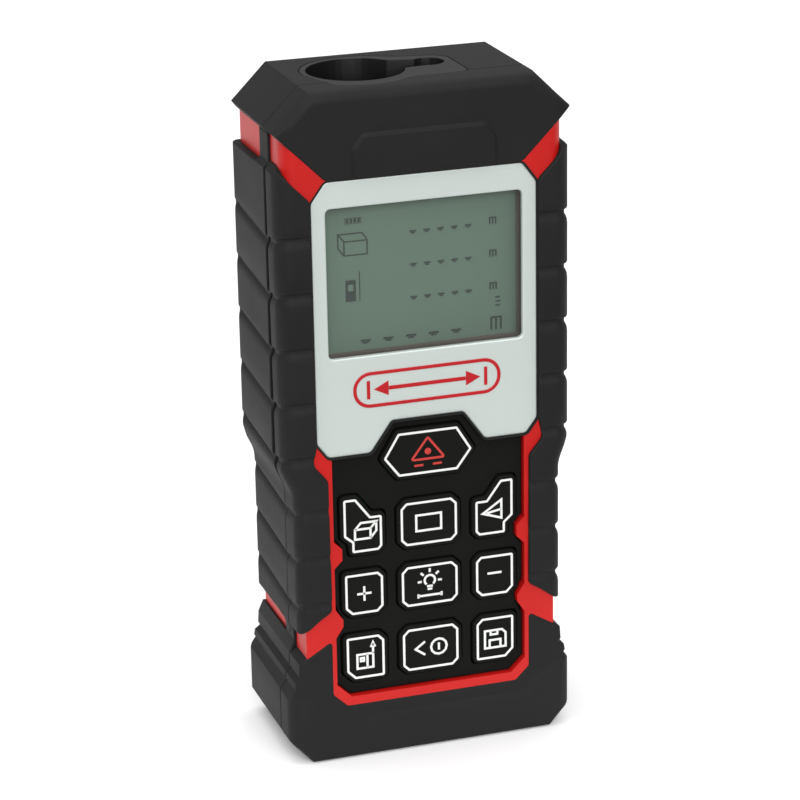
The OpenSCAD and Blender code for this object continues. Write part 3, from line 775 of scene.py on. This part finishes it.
def groove_relief(s, z):
    for start in GROOVES:
        off = z - groove_z(start, s)
        if GROOVE_SHAPE[0][0] < off < GROOVE_SHAPE[-1][0]:
            return groove_depth(s, z) * float(np.interp(off, *zip(*GROOVE_SHAPE)))
    return 0.0


def skin_depth(s, z):
    """The skin is thick on the side and thin on the front and the back."""
    return float(np.interp(s, [-FRONT_RUN - FRONT_ARC, -FRONT_RUN, REAR_RUN, REAR_RUN + REAR_ARC],
                           [FACE_SKIN, SIDE_SKIN, SIDE_SKIN, FACE_SKIN])) - 0.02


def grip_creases(low, high, z_low, z_high):
    lines = []
    for s in [-FRONT_RUN - FRONT_ARC * k / 6 for k in range(7)] + [-9.3] \
            + [REAR_RUN + REAR_ARC * k / 5 for k in range(6)] + [18.4, 20.0] \
            + [2.65 * k for k in range(-1, 7)]:
        if low < s < high:
            lines.append([(s, z_low - 1), (s, z_high + 1)])
    for z in [WAIST[0] + 0.01] + [WAIST[1] + 0.5 * k for k in range(-3, 12)] \
            + [z_low + 4 + 4.2 * k for k in range(22)] + [GRIP_TOP, GRIP_TOP + 0.9]:
        if z_low < z < z_high and all(abs(z - groove_z(g, 0)) > 2.6 for g in GROOVES):
            lines.append([(low - 1, z), (high + 1, z)])
    steps = np.arange(low - 0.5, high + 0.6, 0.7)
    for start in GROOVES:
        for off, _ in GROOVE_SHAPE:
            lines.append([(s, groove_z(start, s) + off) for s in steps])
    return lines


BEZEL_LOW, BEZEL_HIGH = span_of("display_bezel")
KEYPAD_LOW, KEYPAD_HIGH = span_of("keypad_sheet")
BEZEL_HALF = BEZEL_HIGH[0]
KEYPAD_HALF = HALF - 9.0
FIELD_X = BEZEL_HALF + 0.15
FRAME_EDGE = 0.7          # the red frame that shows beside the keypad


def front_grip_outline():
    """The front grip's edge: along the bezel and the keypad frame, and round the side."""
    low, top = BEZEL_LOW[2], BEZEL_HIGH[2]
    side = lambda z: eased_half(z) + FRONT_RUN
    high = top - 3.1 + (HALF - FIELD_X)
    corners = [(side(GRIP_LOW), GRIP_LOW, 0.3), (side(high), high, 0.3), (HALF, high, 0.4),
               (FIELD_X, top - 3.1, 1.6), (FIELD_X, low + 2.7, 1.2),
               (BEZEL_HALF + 0.8, low - 0.9, 1.5), (KEYPAD_HALF + 0.85, low - 4, 1.5),
               (KEYPAD_HALF + FRAME_EDGE, 29.2, 1.2),
               (HALF - 6, 27.8, 3.0), (HALF - 4.1, 26.3, 3.0), (HALF - 2.3, GRIP_LOW + 0.02, 1.5)]
    path = divided(rounded(corners), 0.9)
    return [(min(0.0, front_girth(x, z)), z) for x, z in path]


def rear_grip_outline():
    edge = lambda z: REAR_RUN + REAR_ARC + (eased_half(z) - REAR_R
                                            - (HALF - (5.5 if z > 54 else 7.0)))
    corners = [(0.0, BAND_LOW, 0.2), (STRIP, BAND_LOW, 0.2), (STRIP, GRIP_LOW, 0.6),
               (edge(26), GRIP_LOW, 1.2), (edge(50), 51.0), (edge(58), 57.0),
               (edge(100), GRIP_TOP, 1.2), (STRIP, GRIP_TOP, 0.6), (STRIP, BAND_TOP, 0.2),
               (0.0, BAND_TOP, 0.2)]
    return divided(rounded(corners), 1.2)


def build_grips():
    halves = (("front", front_grip_outline(), 0.32, (GRIP_LOW, GRIP_TOP + 1.4)),
              ("rear", rear_grip_outline(), 0.3, (BAND_LOW, BAND_TOP)))
    for side, word in ((-1, "left"), (1, "right")):
        for half, outline, lip, heights in halves:
            low, high = min(p[0] for p in outline), max(p[0] for p in outline)
            reach = (low, 0.0) if half == "front" else (0.0, high)
            grip = plate(f"{half}_grip_skin_{word}", [outline],
                         lambda s, z, depth: girth_point(s, z, depth, side),
                         lip=lambda s, z: PARTING_LIP if abs(s) < 0.1 else lip,
                         wall=((0, skin_depth),), relief=groove_relief,
                         creases=grip_creases(*reach, *heights))
            fit_rubber(grip, f"{half}_grip_{word}")


# ---- Caps and bumpers ----


def shell_core():
    """The hard shells as one solid, to cut out of the solid caps and bumpers."""
    outline = mirrored([(SHELL_HALF - 3.3, SIDE_SKIN), (SHELL_HALF, 5.1), (SHELL_HALF, 11.9),
                        (SHELL_HALF - 2.0, 17.4), (SHELL_HALF - 2.0, WAIST[1] + 0.6),
                        (SHELL_HALF, FLARE + 0.8), (SHELL_HALF, TOP - CHAMFER - 0.6),
                        (HALF - CHAMFER - 0.6, SHELL_TOP)])
    whole = SHELL_BACK - SHELL_FRONT
    return plate("shell_core", [outline], facing_front(SHELL_FRONT),
                 lip=lambda x, z: 2.5 if abs(x) > 20 and 10 < z < 118 else 0.8,
                 wall=((0, whole - 1.0), (-0.3, whole - 0.3), (-1.0, whole)), steps=4)


MOUTH = (-7.7, 0.8)
MOUTH_R = 8.7
LASER = (MOUTH[0] + 13.6, MOUTH[1] + 1.1)
LASER_R = 2.95


def cover_outline():
    """The plate on the top: it follows the keyhole and bulges forward round the large mouth."""
    mx, my = MOUTH
    lx, ly = LASER
    bend = [(mx + 9.8 * math.cos(math.radians(a)), my + 9.8 * math.sin(math.radians(a)))
            for a in range(188, 88, -11)]
    return rounded([(mx - 6.6, PART_Y - 2.4)] + bend + [
        (mx + 4, my + 9.6), (lx - 4, ly + 5.6), (lx + 2.8, ly + 4), (lx + 4.4, ly + 2),
        (lx + 4.6, PART_Y - 0.4), (mx + 7.5, PART_Y - 0.9), (mx + 4.5, PART_Y - 3),
        (mx + 1, PART_Y - 4), (mx - 2.6, PART_Y - 3.8)], 1.6, 4)


def cover_pocket():
    return cutter("cover_pocket", grown(cover_outline(), 0.15), facing_up(TOP + 1), 4.0)


def fall(value, low, high):
    """0 below the low value, 1 above the high one."""
    return min(1.0, max(0.0, (value - low) / (high - low)))


def rubber_block(name, corners, place, depth, step, **more):
    """A block whose far edge is cut back, so that two halves meet in a fine groove."""
    return plate(name, [divided(rounded(corners, 0.3), step)], place, steps=4,
                 wall=((0, depth - 0.3), (-0.22, depth)), **more)


PAD_RISE = 0.5
BUMPER_RISE = 0.55
CREASE_GAP = 0.22         # between a bevel's edge and the line that keeps it crisp


def build_caps():
    top = BEZEL_HIGH[2]
    shoulder = TOP - CHAMFER
    # Front cap with the raised pad over the display.
    pad = rounded(mirrored([(12.9, top + 0.4), (12.8, top + 5.3), (10.9, top + 7.7)]), 0.9, 3)
    pad_foot = grown(pad, 0.45)
    pad_flat = grown(pad, -0.25)
    pad_lines = [pad, pad_foot, pad_flat, grown(pad_foot, CREASE_GAP),
                 grown(pad_flat, -CREASE_GAP)]
    ring = wound(pad, True)

    def face(x, z):
        at = Vector((x, z))
        off = min(edge_distance(at, Vector(a), Vector(b)) for a, b in sides(ring))
        if inside(x, z, ring):
            off = -off
        return PAD_RISE * fall(off, -0.26, 0.46)

    slope = lambda x: top + 0.2 + (abs(x) - (BEZEL_HALF - 2.6))
    corners = mirrored([(BEZEL_HALF - 2.6, top + 0.2, 1.5), (HALF, top + 9.2, 0.15),
                        (HALF, shoulder, 0.2), (HALF - CHAMFER, TOP, 0.5)])
    cap = rubber_block("front_cap_skin", corners, facing_front(FRONT), PART_Y - FRONT, 3.0,
                       lip=lambda x, z: 0.35 if z < max(top + 0.3, slope(x) + 0.3) else 2.0,
                       relief=face, creases=[line + line[:1] for line in pad_lines])
    cut(cap, shell_core(), cover_pocket())
    fit_rubber(cap, "front_top_cap")
    corners = mirrored([(HALF - 0.9, BAND_TOP, 0.2), (HALF, shoulder, 0.2),
                        (HALF - CHAMFER, TOP, 0.5)])
    cap = rubber_block("rear_cap_skin", corners, facing_back(BACK), BACK - PART_Y, 3.0,
                       lip=lambda x, z: 0.3 if z < BAND_TOP + 0.05 else 1.4)
    cut(cap, shell_core(), cover_pocket())
    fit_rubber(cap, "rear_top_cap")


FOOT_LIP = 1.2
FOOT_TOP = 4.4


def foot_side(top):
    """The right side of the bumper from its top down to the base, with its two ridges."""
    return [(HALF - set_in, z, r) for set_in, z, r in (
        (2.95, top, 0.2), (2.0, 19.5, 0.5), (1.85, 17.2, 0.5), (2.25, 16.7, 0.2),
        (1.2, 15.9, 0.4), (1.0, 14.8, 0.4), (1.3, 14.4, 0.2), (0.1, 12.7, 0.6),
        (0, 12.4, 0.3), (0, 4.5, 0.8), (4.1, 0.0, 0.5))]


def upright():
    """The body's plan drawn up as a column, which rounds the upright corners."""
    plan = mirrored([(HALF + 0.01, BACK + 0.01, REAR_R), (HALF + 0.01, FRONT - 0.01, FRONT_R)])
    return cutter("upright_plan", rounded(plan, 0.1, 14), facing_up(TOP - 40), TOP)


def build_bumpers():
    keypad_z = 11.9

    def lip(x, z):
        x = abs(x)
        return FOOT_LIP if z < FOOT_TOP else (0.5 if x > HALF - 3.2 else 0.35)

    low_line = ([0, 18.2, 19.6, 20.6, 25.3, 40], [6.6, 6.6, 8.4, 10.2, 11.9, 12.0])
    high_line = ([0, 17.8, 20.1, 23.3, 25.5, 40], [7.9, 7.9, 11.0, 12.9, 13.0, 13.0])

    def face(x, z):
        return BUMPER_RISE * fall(z, float(np.interp(abs(x), *low_line)),
                                  float(np.interp(abs(x), *high_line)))

    creases = []
    for (xs, zs), off in ((low_line, 0), (low_line, -CREASE_GAP), (high_line, 0),
                          (high_line, CREASE_GAP)):
        right = [(x, z + off) for x, z in zip(xs[1:], zs[1:])]
        creases.append([(-x, z) for x, z in reversed(right)] + right)
    edge = KEYPAD_HALF + FRAME_EDGE
    inner = [(KEYPAD_HALF - 1.9, keypad_z - 1.6, 0.8), (edge, keypad_z + 0.9, 0.8),
             (edge, 23.5, 0.6), (HALF - 5.9, 22.0, 1.5)]
    corners = mirrored(inner + foot_side(20.35))
    bumper = rubber_block("front_bumper_skin", corners, facing_front(FRONT), PART_Y - FRONT, 4.0,
                          lip=lip, relief=face, creases=creases)
    cut(bumper, upright(), operation="INTERSECT")
    cut(bumper, shell_core())
    fit_rubber(bumper, "front_bumper")

    bumper = rubber_block("rear_bumper_skin", mirrored(foot_side(BAND_LOW)), facing_back(BACK),
                          BACK - PART_Y, 4.0, lip=lambda x, z: FOOT_LIP if z < FOOT_TOP else 0.4)
    opening = rounded(mirrored([(HALF - 7, 40), (HALF - 7, 10.5), (HALF - 9, 8)]), 0.8)
    field = cutter("back_field", opening, facing_back(BACK + 2), 5.0)
    holes = bmesh.new()
    for x in (8.5 - HALF, HALF - 8.5):
        add_rod(holes, (x, 5.2, 6.6), (x, BACK + 2, 6.6), 2.7)
    cut(bumper, upright(), operation="INTERSECT")
    cut(bumper, shell_core(), field, settled(holes, "screw_holes"))
    fit_rubber(bumper, "rear_bumper")


# ---- Bezel, badge and display ----

SCREEN_HALF = BEZEL_HALF - 2.65
SCREEN_Z = (BEZEL_LOW[2] + 18.1, BEZEL_HIGH[2] - 4.9)


def build_bezel():
    low, top = BEZEL_LOW[2], BEZEL_HIGH[2]
    outline = rounded(mirrored([(6.7, low + 5.6, 1.0), (10.7, low, 1.2),
                                (BEZEL_HALF - 2.1, low, 1.2), (BEZEL_HALF, low + 2.8, 1.6),
                                (BEZEL_HALF, top - 3.6, 1.2), (BEZEL_HALF - 2.65, top, 1.2)]),
                      0.5, 5)
    hole = rounded([(SCREEN_HALF, SCREEN_Z[0]), (SCREEN_HALF, SCREEN_Z[1]),
                    (-SCREEN_HALF, SCREEN_Z[1]), (-SCREEN_HALF, SCREEN_Z[0])], 0.9, 4)
    thick = BEZEL_HIGH[1] - BEZEL_LOW[1]
    bezel = plate("display_bezel_plate", [outline, hole], facing_front(BEZEL_LOW[1]), lip=0.28,
                  wall=((0, thick),), steps=4)
    fit(bezel, FINISHES["bezel"], nodes=["display_bezel"])
    # A thin black rubber ring round the bezel's edge hides the red wall under it; where it shows,
    # at the lower corners, it is painted shade standing in for the shadow gap round the bezel.
    shadow_gap_ring = plate("bezel_edge_seal", [grown(outline, 0.34), grown(outline, 0.01)],
                 facing_front(SHELL_FRONT - 0.12), lip=0.02, wall=((0, 1.0),), steps=1, edge=0.01)
    fit_rubber(shadow_gap_ring)

    # Badge: a raised capsule with a double-headed measuring arrow.
    z = BEZEL_LOW[2] + 11.8
    capsule = rounded(mirrored([(13.7, z - 3.3), (13.7, z + 3.3)]), 3.25, 10)
    mesh = bmesh.new()
    add_plate(mesh, [capsule, grown(capsule, -0.62)], facing_front(BEZEL_LOW[1] - 0.14), lip=0.07,
              wall=((0, 0.2),), edge=0.02)
    marks = [stroke([(-7.15, z), (7.15, z)], 0.7)]
    for side in (-1, 1):
        marks.append([(side * 9.9, z), (side * 7.2, z + 1.35), (side * 7.2, z - 1.35)])
        marks.append(stroke([(side * 10.9, z - 1.7), (side * 10.9, z + 1.7)], 0.6))
    for mark in marks:
        add_plate(mesh, [mark], facing_front(BEZEL_LOW[1] - 0.12), lip=0.05, wall=((0, 0.18),),
                  edge=0.02)
    fit(settled(mesh, "measuring_arrow_badge"), FINISHES["badge"])


def build_display():
    y = span_of("lcd_panel")[0][1]
    mesh = bmesh.new()

    def mark(*loops):
        add_plate(mesh, list(loops), facing_front(y - 0.03), lip=0.004, wall=((0, 0.05),),
                  steps=1, edge=0.002)

    def bar(x, z, w, h):
        mark(box(x - w / 2, z - h / 2, x + w / 2, z + h / 2))

    # Three rows of five resting digits, each with its unit mark, and the large row.
    for z in (96.9, 90.9, 84.9):
        for x in (-1.1 + 2.55 * k for k in range(5)):
            bar(x, z, 1.25, 0.34)
            bar(x, z - 0.34, 0.7, 0.28)
        for dx in (-0.55, 0, 0.55):
            bar(13.7 + dx, z + 0.35, 0.3, 1.3)
        bar(13.7, z + 0.9, 1.4, 0.26)
    for k in range(5):
        bar(-10.1 + 4.2 * k, 77.9, 1.9, 0.42)
        bar(-10.1 + 4.2 * k, 77.5, 1.1, 0.34)
    for dx in (-0.9, 0, 0.9):
        bar(14.2 + dx, 78.3, 0.42, 2.4)
    bar(14.2, 79.4, 2.2, 0.36)
    for k in range(3):
        bar(14.5 + 0.12 * (k % 2), 81.6 + 0.75 * k, 0.9, 0.3)
    # Charge symbol with four cells.
    for k in range(4):
        bar(-13.0 + 0.68 * k, 99.9, 0.48, 0.7)
    mark(box(-13.5, 99.35, -10.5, 100.45), box(-13.38, 99.47, -10.62, 100.33))
    # A box outline in the upper left corner.
    front = box(-13.7, 93.7, -9.5, 96.2)
    mark(grown(front, 0.13), grown(front, -0.13))
    for path in ([(-13.7, 96.3), (-14.8, 97.6), (-10.4, 97.6), (-9.5, 96.3)],
                 [(-14.8, 97.5), (-14.8, 95.1), (-13.8, 93.8)]):
        mark(stroke(path, 0.26))
    # The device with its reference edge.
    mark(box(-13.6, 85.3, -11.7, 89.2), box(-13.15, 87.2, -12.15, 88.4))
    bar(-11.0, 88.0, 0.2, 5.4)
    fit(settled(mesh, "display_segments"), FINISHES["segment"])


# ---- Keypad ----

KEY_RIM = 0.9
KEY_GAP = 0.25
KEY_FRONT = span_of("key_area")[0][1]
KEY_DEPTH = 2.2
KEY_ROWS = (("key_reference", "key_clear", "key_storage"), ("key_plus", "key_light", "key_minus"),
            ("key_volume", "key_area", "key_pythagoras"))
WEB_FRONT = KEYPAD_LOW[1]
MID = 5.1
SIDE = 15.75
SIDE_W = 6.7
ROWS = [[span_of(row[1])[0][2] + KEY_RIM, span_of(row[1])[1][2] - KEY_RIM] for row in KEY_ROWS]
HEX_Z = BEZEL_LOW[2] - 1.2
LINE = 0.42


def cut_corners(x, z, c):
    return [(x[0], z[1] - c[0]), (x[0] + c[0], z[1]), (x[1] - c[1], z[1]), (x[1], z[1] - c[1]),
            (x[1], z[0] + c[2]), (x[1] - c[2], z[0]), (x[0] + c[3], z[0]), (x[0], z[0] + c[3])]


def key_lines():
    """Each key's printed outline, by the name of its body."""
    lines = {"key_measure": [(-8, HEX_Z - 0.4), (-5.4, HEX_Z + 3.85), (5.4, HEX_Z + 3.85),
                             (8, HEX_Z - 0.4), (5.4, HEX_Z - 3.85), (-5.4, HEX_Z - 3.85)]}
    for names, row in zip(KEY_ROWS, ROWS):
        lines[names[1]] = cut_corners((-MID, MID), row, [0.95] * 4)
    z0, z1 = ROWS[2]
    top = [(-SIDE, z1 + 2.1), (2 - SIDE, z1 + 2.1), (4.7 - SIDE, z1 - 1.5),
           (SIDE_W - SIDE, z1 - 1.5), (SIDE_W - SIDE, z0 + 0.7), (SIDE_W - 0.6 - SIDE, z0 + 0.1),
           (1.5 - SIDE, z0 + 0.1), (1.5 - SIDE, z0 + 1.9), (-SIDE, z0 + 3.2)]
    middle = cut_corners((-SIDE, SIDE_W - SIDE), ROWS[1], [0.01, 0.8, 0.95, 1.1])
    bottom = cut_corners((-SIDE, SIDE_W - SIDE), ROWS[0], [0.01, 0.95, 0.01, 1.4])
    for (left, _, right), line in zip(reversed(KEY_ROWS), (top, middle, bottom)):
        lines[left] = line
        lines[right] = [(-x, z) for x, z in line]
    return lines


def icon_lines(name, line):
    """The closed and the open lines of a key's symbol."""
    xs, zs = [p[0] for p in line], [p[1] for p in line]
    cx, cz = (min(xs) + max(xs)) / 2, (min(zs) + max(zs)) / 2

    def at(x, z, *points):
        return [(x + u, z + v) for u, v in points]

    if name == "key_area":
        return [box(-2.4, cz - 1.5, 2.3, cz + 1.5)], []
    if name == "key_plus":
        return [], [at(cx, cz, (-1.35, 0), (1.35, 0)), at(cx, cz, (0, -1.4), (0, 1.4))]
    if name == "key_minus":
        return [], [at(cx, cz + 0.4, (-1.35, 0), (1.35, 0))]
    if name == "key_volume":
        x, z = -13.9, ROWS[2][0] + 2.4
        return [box(x, z, x + 2.9, z + 1.85)], [
            at(x, z, (0, 1.85), (1.1, 3.05), (4.0, 3.05), (2.9, 1.85)),
            at(x, z, (4.0, 3.05), (4.0, 1.3), (2.9, 0))]
    if name == "key_pythagoras":
        return [[(10.25, 43.6), (13.8, 45.9), (13.8, 42.4)]], [[(11.0, 43.6), (13.8, 44.1)]]
    if name == "key_light":
        rays = [arc(0, cz + 0.8, 1.55, [d]) + arc(0, cz + 0.8, 2.3, [d])
                for d in (-95, -48, 0, 48, 95)]
        bulb = arc(0, cz + 0.8, 1.0, range(-140, 141, 28))
        return [], rays + [bulb] + [at(0, cz, *ends) for ends in (
            ((-0.55, -0.35), (0.55, -0.35)), ((-0.45, -0.9), (0.45, -0.9)),
            ((-2.2, -2.1), (2.2, -2.1)), ((-2.2, -2.5), (-2.2, -1.7)), ((2.2, -2.5), (2.2, -1.7)))]
    if name == "key_clear":
        return [arc(1.55, cz, 1.5, range(0, 360, 30))], [
            at(1.55, cz, (0, -0.7), (0, 0.7)), at(0, cz, (-1.1, 1.3), (-2.9, 0), (-1.1, -1.3))]
    if name == "key_reference":
        x, z = -14.0, ROWS[0][0] + 1.75
        return [box(x, z, x + 3.0, z + 2.7), box(x + 0.65, z + 1.4, x + 1.25, z + 2.0)], [
            at(x, z, (1.9, 0), (1.9, 2.7)), at(x, z, (3.0, 2.7), (3.0, 4.6)),
            at(x, z, (2.6, 3.9), (3.0, 4.8), (3.4, 3.9))]
    if name == "key_storage":
        x, z = 10.45, ROWS[0][0] + 1.95
        return [at(x, z, (0, 0), (4.0, 0), (4.0, 2.7), (3.3, 3.4), (0, 3.4))], [
            at(x, z, (1.1, 3.3), (1.1, 2.6), (2.4, 2.6), (2.4, 3.3)),
            at(x, z, (0.9, 0.1), (0.9, 1.5), (3.0, 1.5), (3.0, 0.1))]
    return [], []


def paint(mesh, *loops):
    """Adds a printed area: the first loop without the others."""
    add_plate(mesh, list(loops), facing_front(KEY_FRONT - 0.035), lip=0.015, wall=((0, 0.05),),
              steps=1, edge=0.005)


def paint_outline(mesh, loop):
    paint(mesh, grown(loop, LINE / 2), grown(loop, -LINE / 2))


def pill_place(name):
    """Where the pill under a key stands, across and up."""
    for z, names in zip(ROWS, KEY_ROWS):
        if name in names:
            return (names.index(name) - 1) * (SIDE - SIDE_W / 2), sum(z) / 2
    return 0.0, HEX_Z


def build_red_print(body, z):
    """The main key's triangle with its dot, over two dashes."""
    mesh = bmesh.new()
    paint_outline(mesh, rounded([(0.0, z + 2.75), (-3.1, z - 1.3), (3.1, z - 1.3)], 0.2, 2))
    paint(mesh, circle(0.0, z + 0.1, 0.62, 16))
    for side in (-1, 1):
        paint(mesh, stroke([(side * 0.9, z - 2.4), (side * 2.6, z - 2.4)], 0.4))
    fit(settled(mesh, "measure_key_red_print"), FINISHES["red_ink"], body=body)


def build_keypad():
    lines = key_lines()
    top = BEZEL_LOW[2] + 0.9
    kz = span_of("front_housing")[0][2] + 10.5
    right = [(KEYPAD_HALF - 2.7, kz, 0.5), (KEYPAD_HALF, kz + 2.6, 0.5)]
    for a, b, c, d, inward in ((10.95, 13.9, 15.2, 18.15, 1.4), (24.85, 26.7, 28.8, 30.65, 1.5)):
        right += [(KEYPAD_HALF, kz + a, 0.8), (KEYPAD_HALF - inward, kz + b, 0.5),
                  (KEYPAD_HALF - inward, kz + c, 0.5), (KEYPAD_HALF, kz + d, 0.8)]
    right += [(KEYPAD_HALF, top, 0.3), (11.5, top, 0.3), (7.4, top + 5.6, 0.8)]
    outline = rounded(grown([p[:2] for p in mirrored(right)], -0.15), 0.6, 3)
    holes = [rounded(grown(tidy(line, 0.05), KEY_RIM + KEY_GAP), 1.0, 3) for line in lines.values()]
    web = plate("keypad_web", [outline] + holes, facing_front(WEB_FRONT), lip=0.12,
                wall=((0, KEYPAD_HIGH[1] - WEB_FRONT),))
    fit(web, FINISHES["silicone"], nodes=["keypad_sheet"])
    for name, line in lines.items():
        line = tidy(line, 0.05)
        label = name.replace("key_", "") + "_key"
        mesh = bmesh.new()
        cap = rounded(grown(line, KEY_RIM), 1.1, 4)
        add_plate(mesh, [cap], facing_front(KEY_FRONT), lip=0.28, wall=((0, KEY_DEPTH),), steps=4)
        x, z = pill_place(name)
        add_rod(mesh, (x, KEY_FRONT + KEY_DEPTH - 0.01, z), (x, span_of(name)[1][1], z),
                2.4 if name == "key_measure" else 1.8, bevel=0.2)
        fit(settled(mesh, label), FINISHES["silicone"], body=name, nodes=[name])
        mesh = bmesh.new()
        paint_outline(mesh, rounded(line, 0.18, 2))
        closed_lines, open_lines = icon_lines(name, line)
        for points in closed_lines:
            paint_outline(mesh, points)
        for points in open_lines:
            paint(mesh, stroke(points, LINE))
        fit(settled(mesh, label + "_print"), FINISHES["white_ink"], body=name)
        if name == "key_measure":
            build_red_print(name, HEX_Z)


# ---- Optics cover ----


def keyhole():
    """A large and a small circle joined by a channel, as one outline."""
    mx, my = MOUTH
    lx, ly = LASER
    out = []
    for x, y, r, start, end, steps in ((mx, my, MOUTH_R, 34, 346, 40),
                                       (lx, ly, LASER_R, -112, 122, 16)):
        for k in range(steps + 1):
            a = math.radians(start + (end - start) * k / steps)
            out.append((x + r * math.cos(a), y + r * math.sin(a)))
    return rounded(out, 0.6, 3)


def build_cover():
    low, high = span_of("optics_cover")
    hood = high[2] - low[2]
    skin = TOP - SHELL_TOP
    cover = plate("optics_cover_plate", [cover_outline(), keyhole()], facing_up(TOP), lip=0.14,
                  wall=((0, skin),), hole_wall=((0, hood), (-1.0, hood), (-1.0, skin)), steps=4)
    fit(cover, FINISHES["cover"], nodes=["optics_cover"])


# ---- Finishes of the CAD nodes that stay ----

NODES_BY_FINISH = {
    "red": "front_housing rear_housing", "window": "display_window",
    "gasket": "window_gasket door_seal", "lcd": "lcd_panel", "frame": "lcd_frame",
    "diffuser": "backlight", "strip": "lcd_connector", "board": "main_board receiver_board",
    "gold": "contact_pads receiver_sensor", "chip": "board_chips buzzer", "cast": "optics_chassis",
    "lens": "receiver_lens laser_window collimator_lens", "cover": "lens_ring",
    "brass": "laser_module screw_inserts tripod_bush", "flex": "optics_flex",
    "sleeve": "battery_left battery_right", "nickel": "battery_springs battery_plates",
    "steel": "housing_screws board_screws", "door": "battery_door",
}


def finish_nodes():
    for finish, nodes in NODES_BY_FINISH.items():
        for node in nodes.split():
            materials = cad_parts[node].data.materials
            materials.clear()
            materials.append(FINISHES[finish])


# ---- Studio ----


CAMERA_LENS = 138.73
CAMERA_AT = Vector((-163.38, -500.17, 245.78))
CAMERA_RIGHT = Vector((0.94905644, -0.31463929, -0.0171463))
CAMERA_AHEAD = Vector((0.29180267, 0.89810412, -0.32902917))
CAMERA_DOWN = Vector((-0.118919, -0.307237, -0.944163))
WORLD_STRENGTH = 0.36


def build_studio():
    camera = bpy.data.cameras.new("camera")
    camera.lens, camera.sensor_width = CAMERA_LENS, 36.0
    camera.clip_start, camera.clip_end = 0.05, 20.0
    holder = added("camera", camera)
    turn = Matrix((CAMERA_RIGHT, -CAMERA_DOWN, -CAMERA_AHEAD)).transposed().to_4x4()
    holder.matrix_world = Matrix.Translation(CAMERA_AT * MM) @ turn
    bpy.context.scene.camera = holder

    floor = bmesh.new()
    bmesh.ops.create_grid(floor, x_segments=2, y_segments=2, size=3.0,
                          matrix=Matrix.Translation((0, 2.93, 0)))
    data = bpy.data.meshes.new("floor")
    floor.to_mesh(data)
    floor.free()
    ground = added("floor", data)
    pale = Finish("pale_floor", (0.96, 0.96, 0.96), roughness=0.8, specular_ior_level=0.1)
    ground.data.materials.append(pale.material)

    world = bpy.data.worlds.new("studio")
    bpy.context.scene.world = world
    world.use_nodes = True
    sky = world.node_tree.nodes["Background"]
    sky.inputs["Color"].default_value = (1, 1, 1, 1)
    sky.inputs["Strength"].default_value = WORLD_STRENGTH

    def softbox(name, at, aim, size, power):
        lamp = bpy.data.lights.new(name, "AREA")
        lamp.shape, lamp.size, lamp.size_y, lamp.energy = "RECTANGLE", *size, power
        obj = added(name, lamp)
        obj.location = at
        obj.rotation_euler = (Vector(aim) - Vector(at)).to_track_quat("-Z", "Y").to_euler()

    softbox("left_softbox", (-0.9, -0.15, 0.55), (0, 0, 0.06), (0.7, 0.7), 1.4)
    softbox("overhead_softbox", (0.0, 0.25, 1.5), (0.0, 0.25, 0.0), (3.0, 3.0), 38.0)
    softbox("front_softbox", (-0.1, -0.95, 0.5), (0, 0, 0.06), (0.8, 0.5), 8.0)


bpy.context.scene.view_settings.view_transform = "Standard"
build_studio()
build_grips()
build_caps()
build_bumpers()
build_bezel()
build_display()
build_keypad()
build_cover()
finish_nodes()
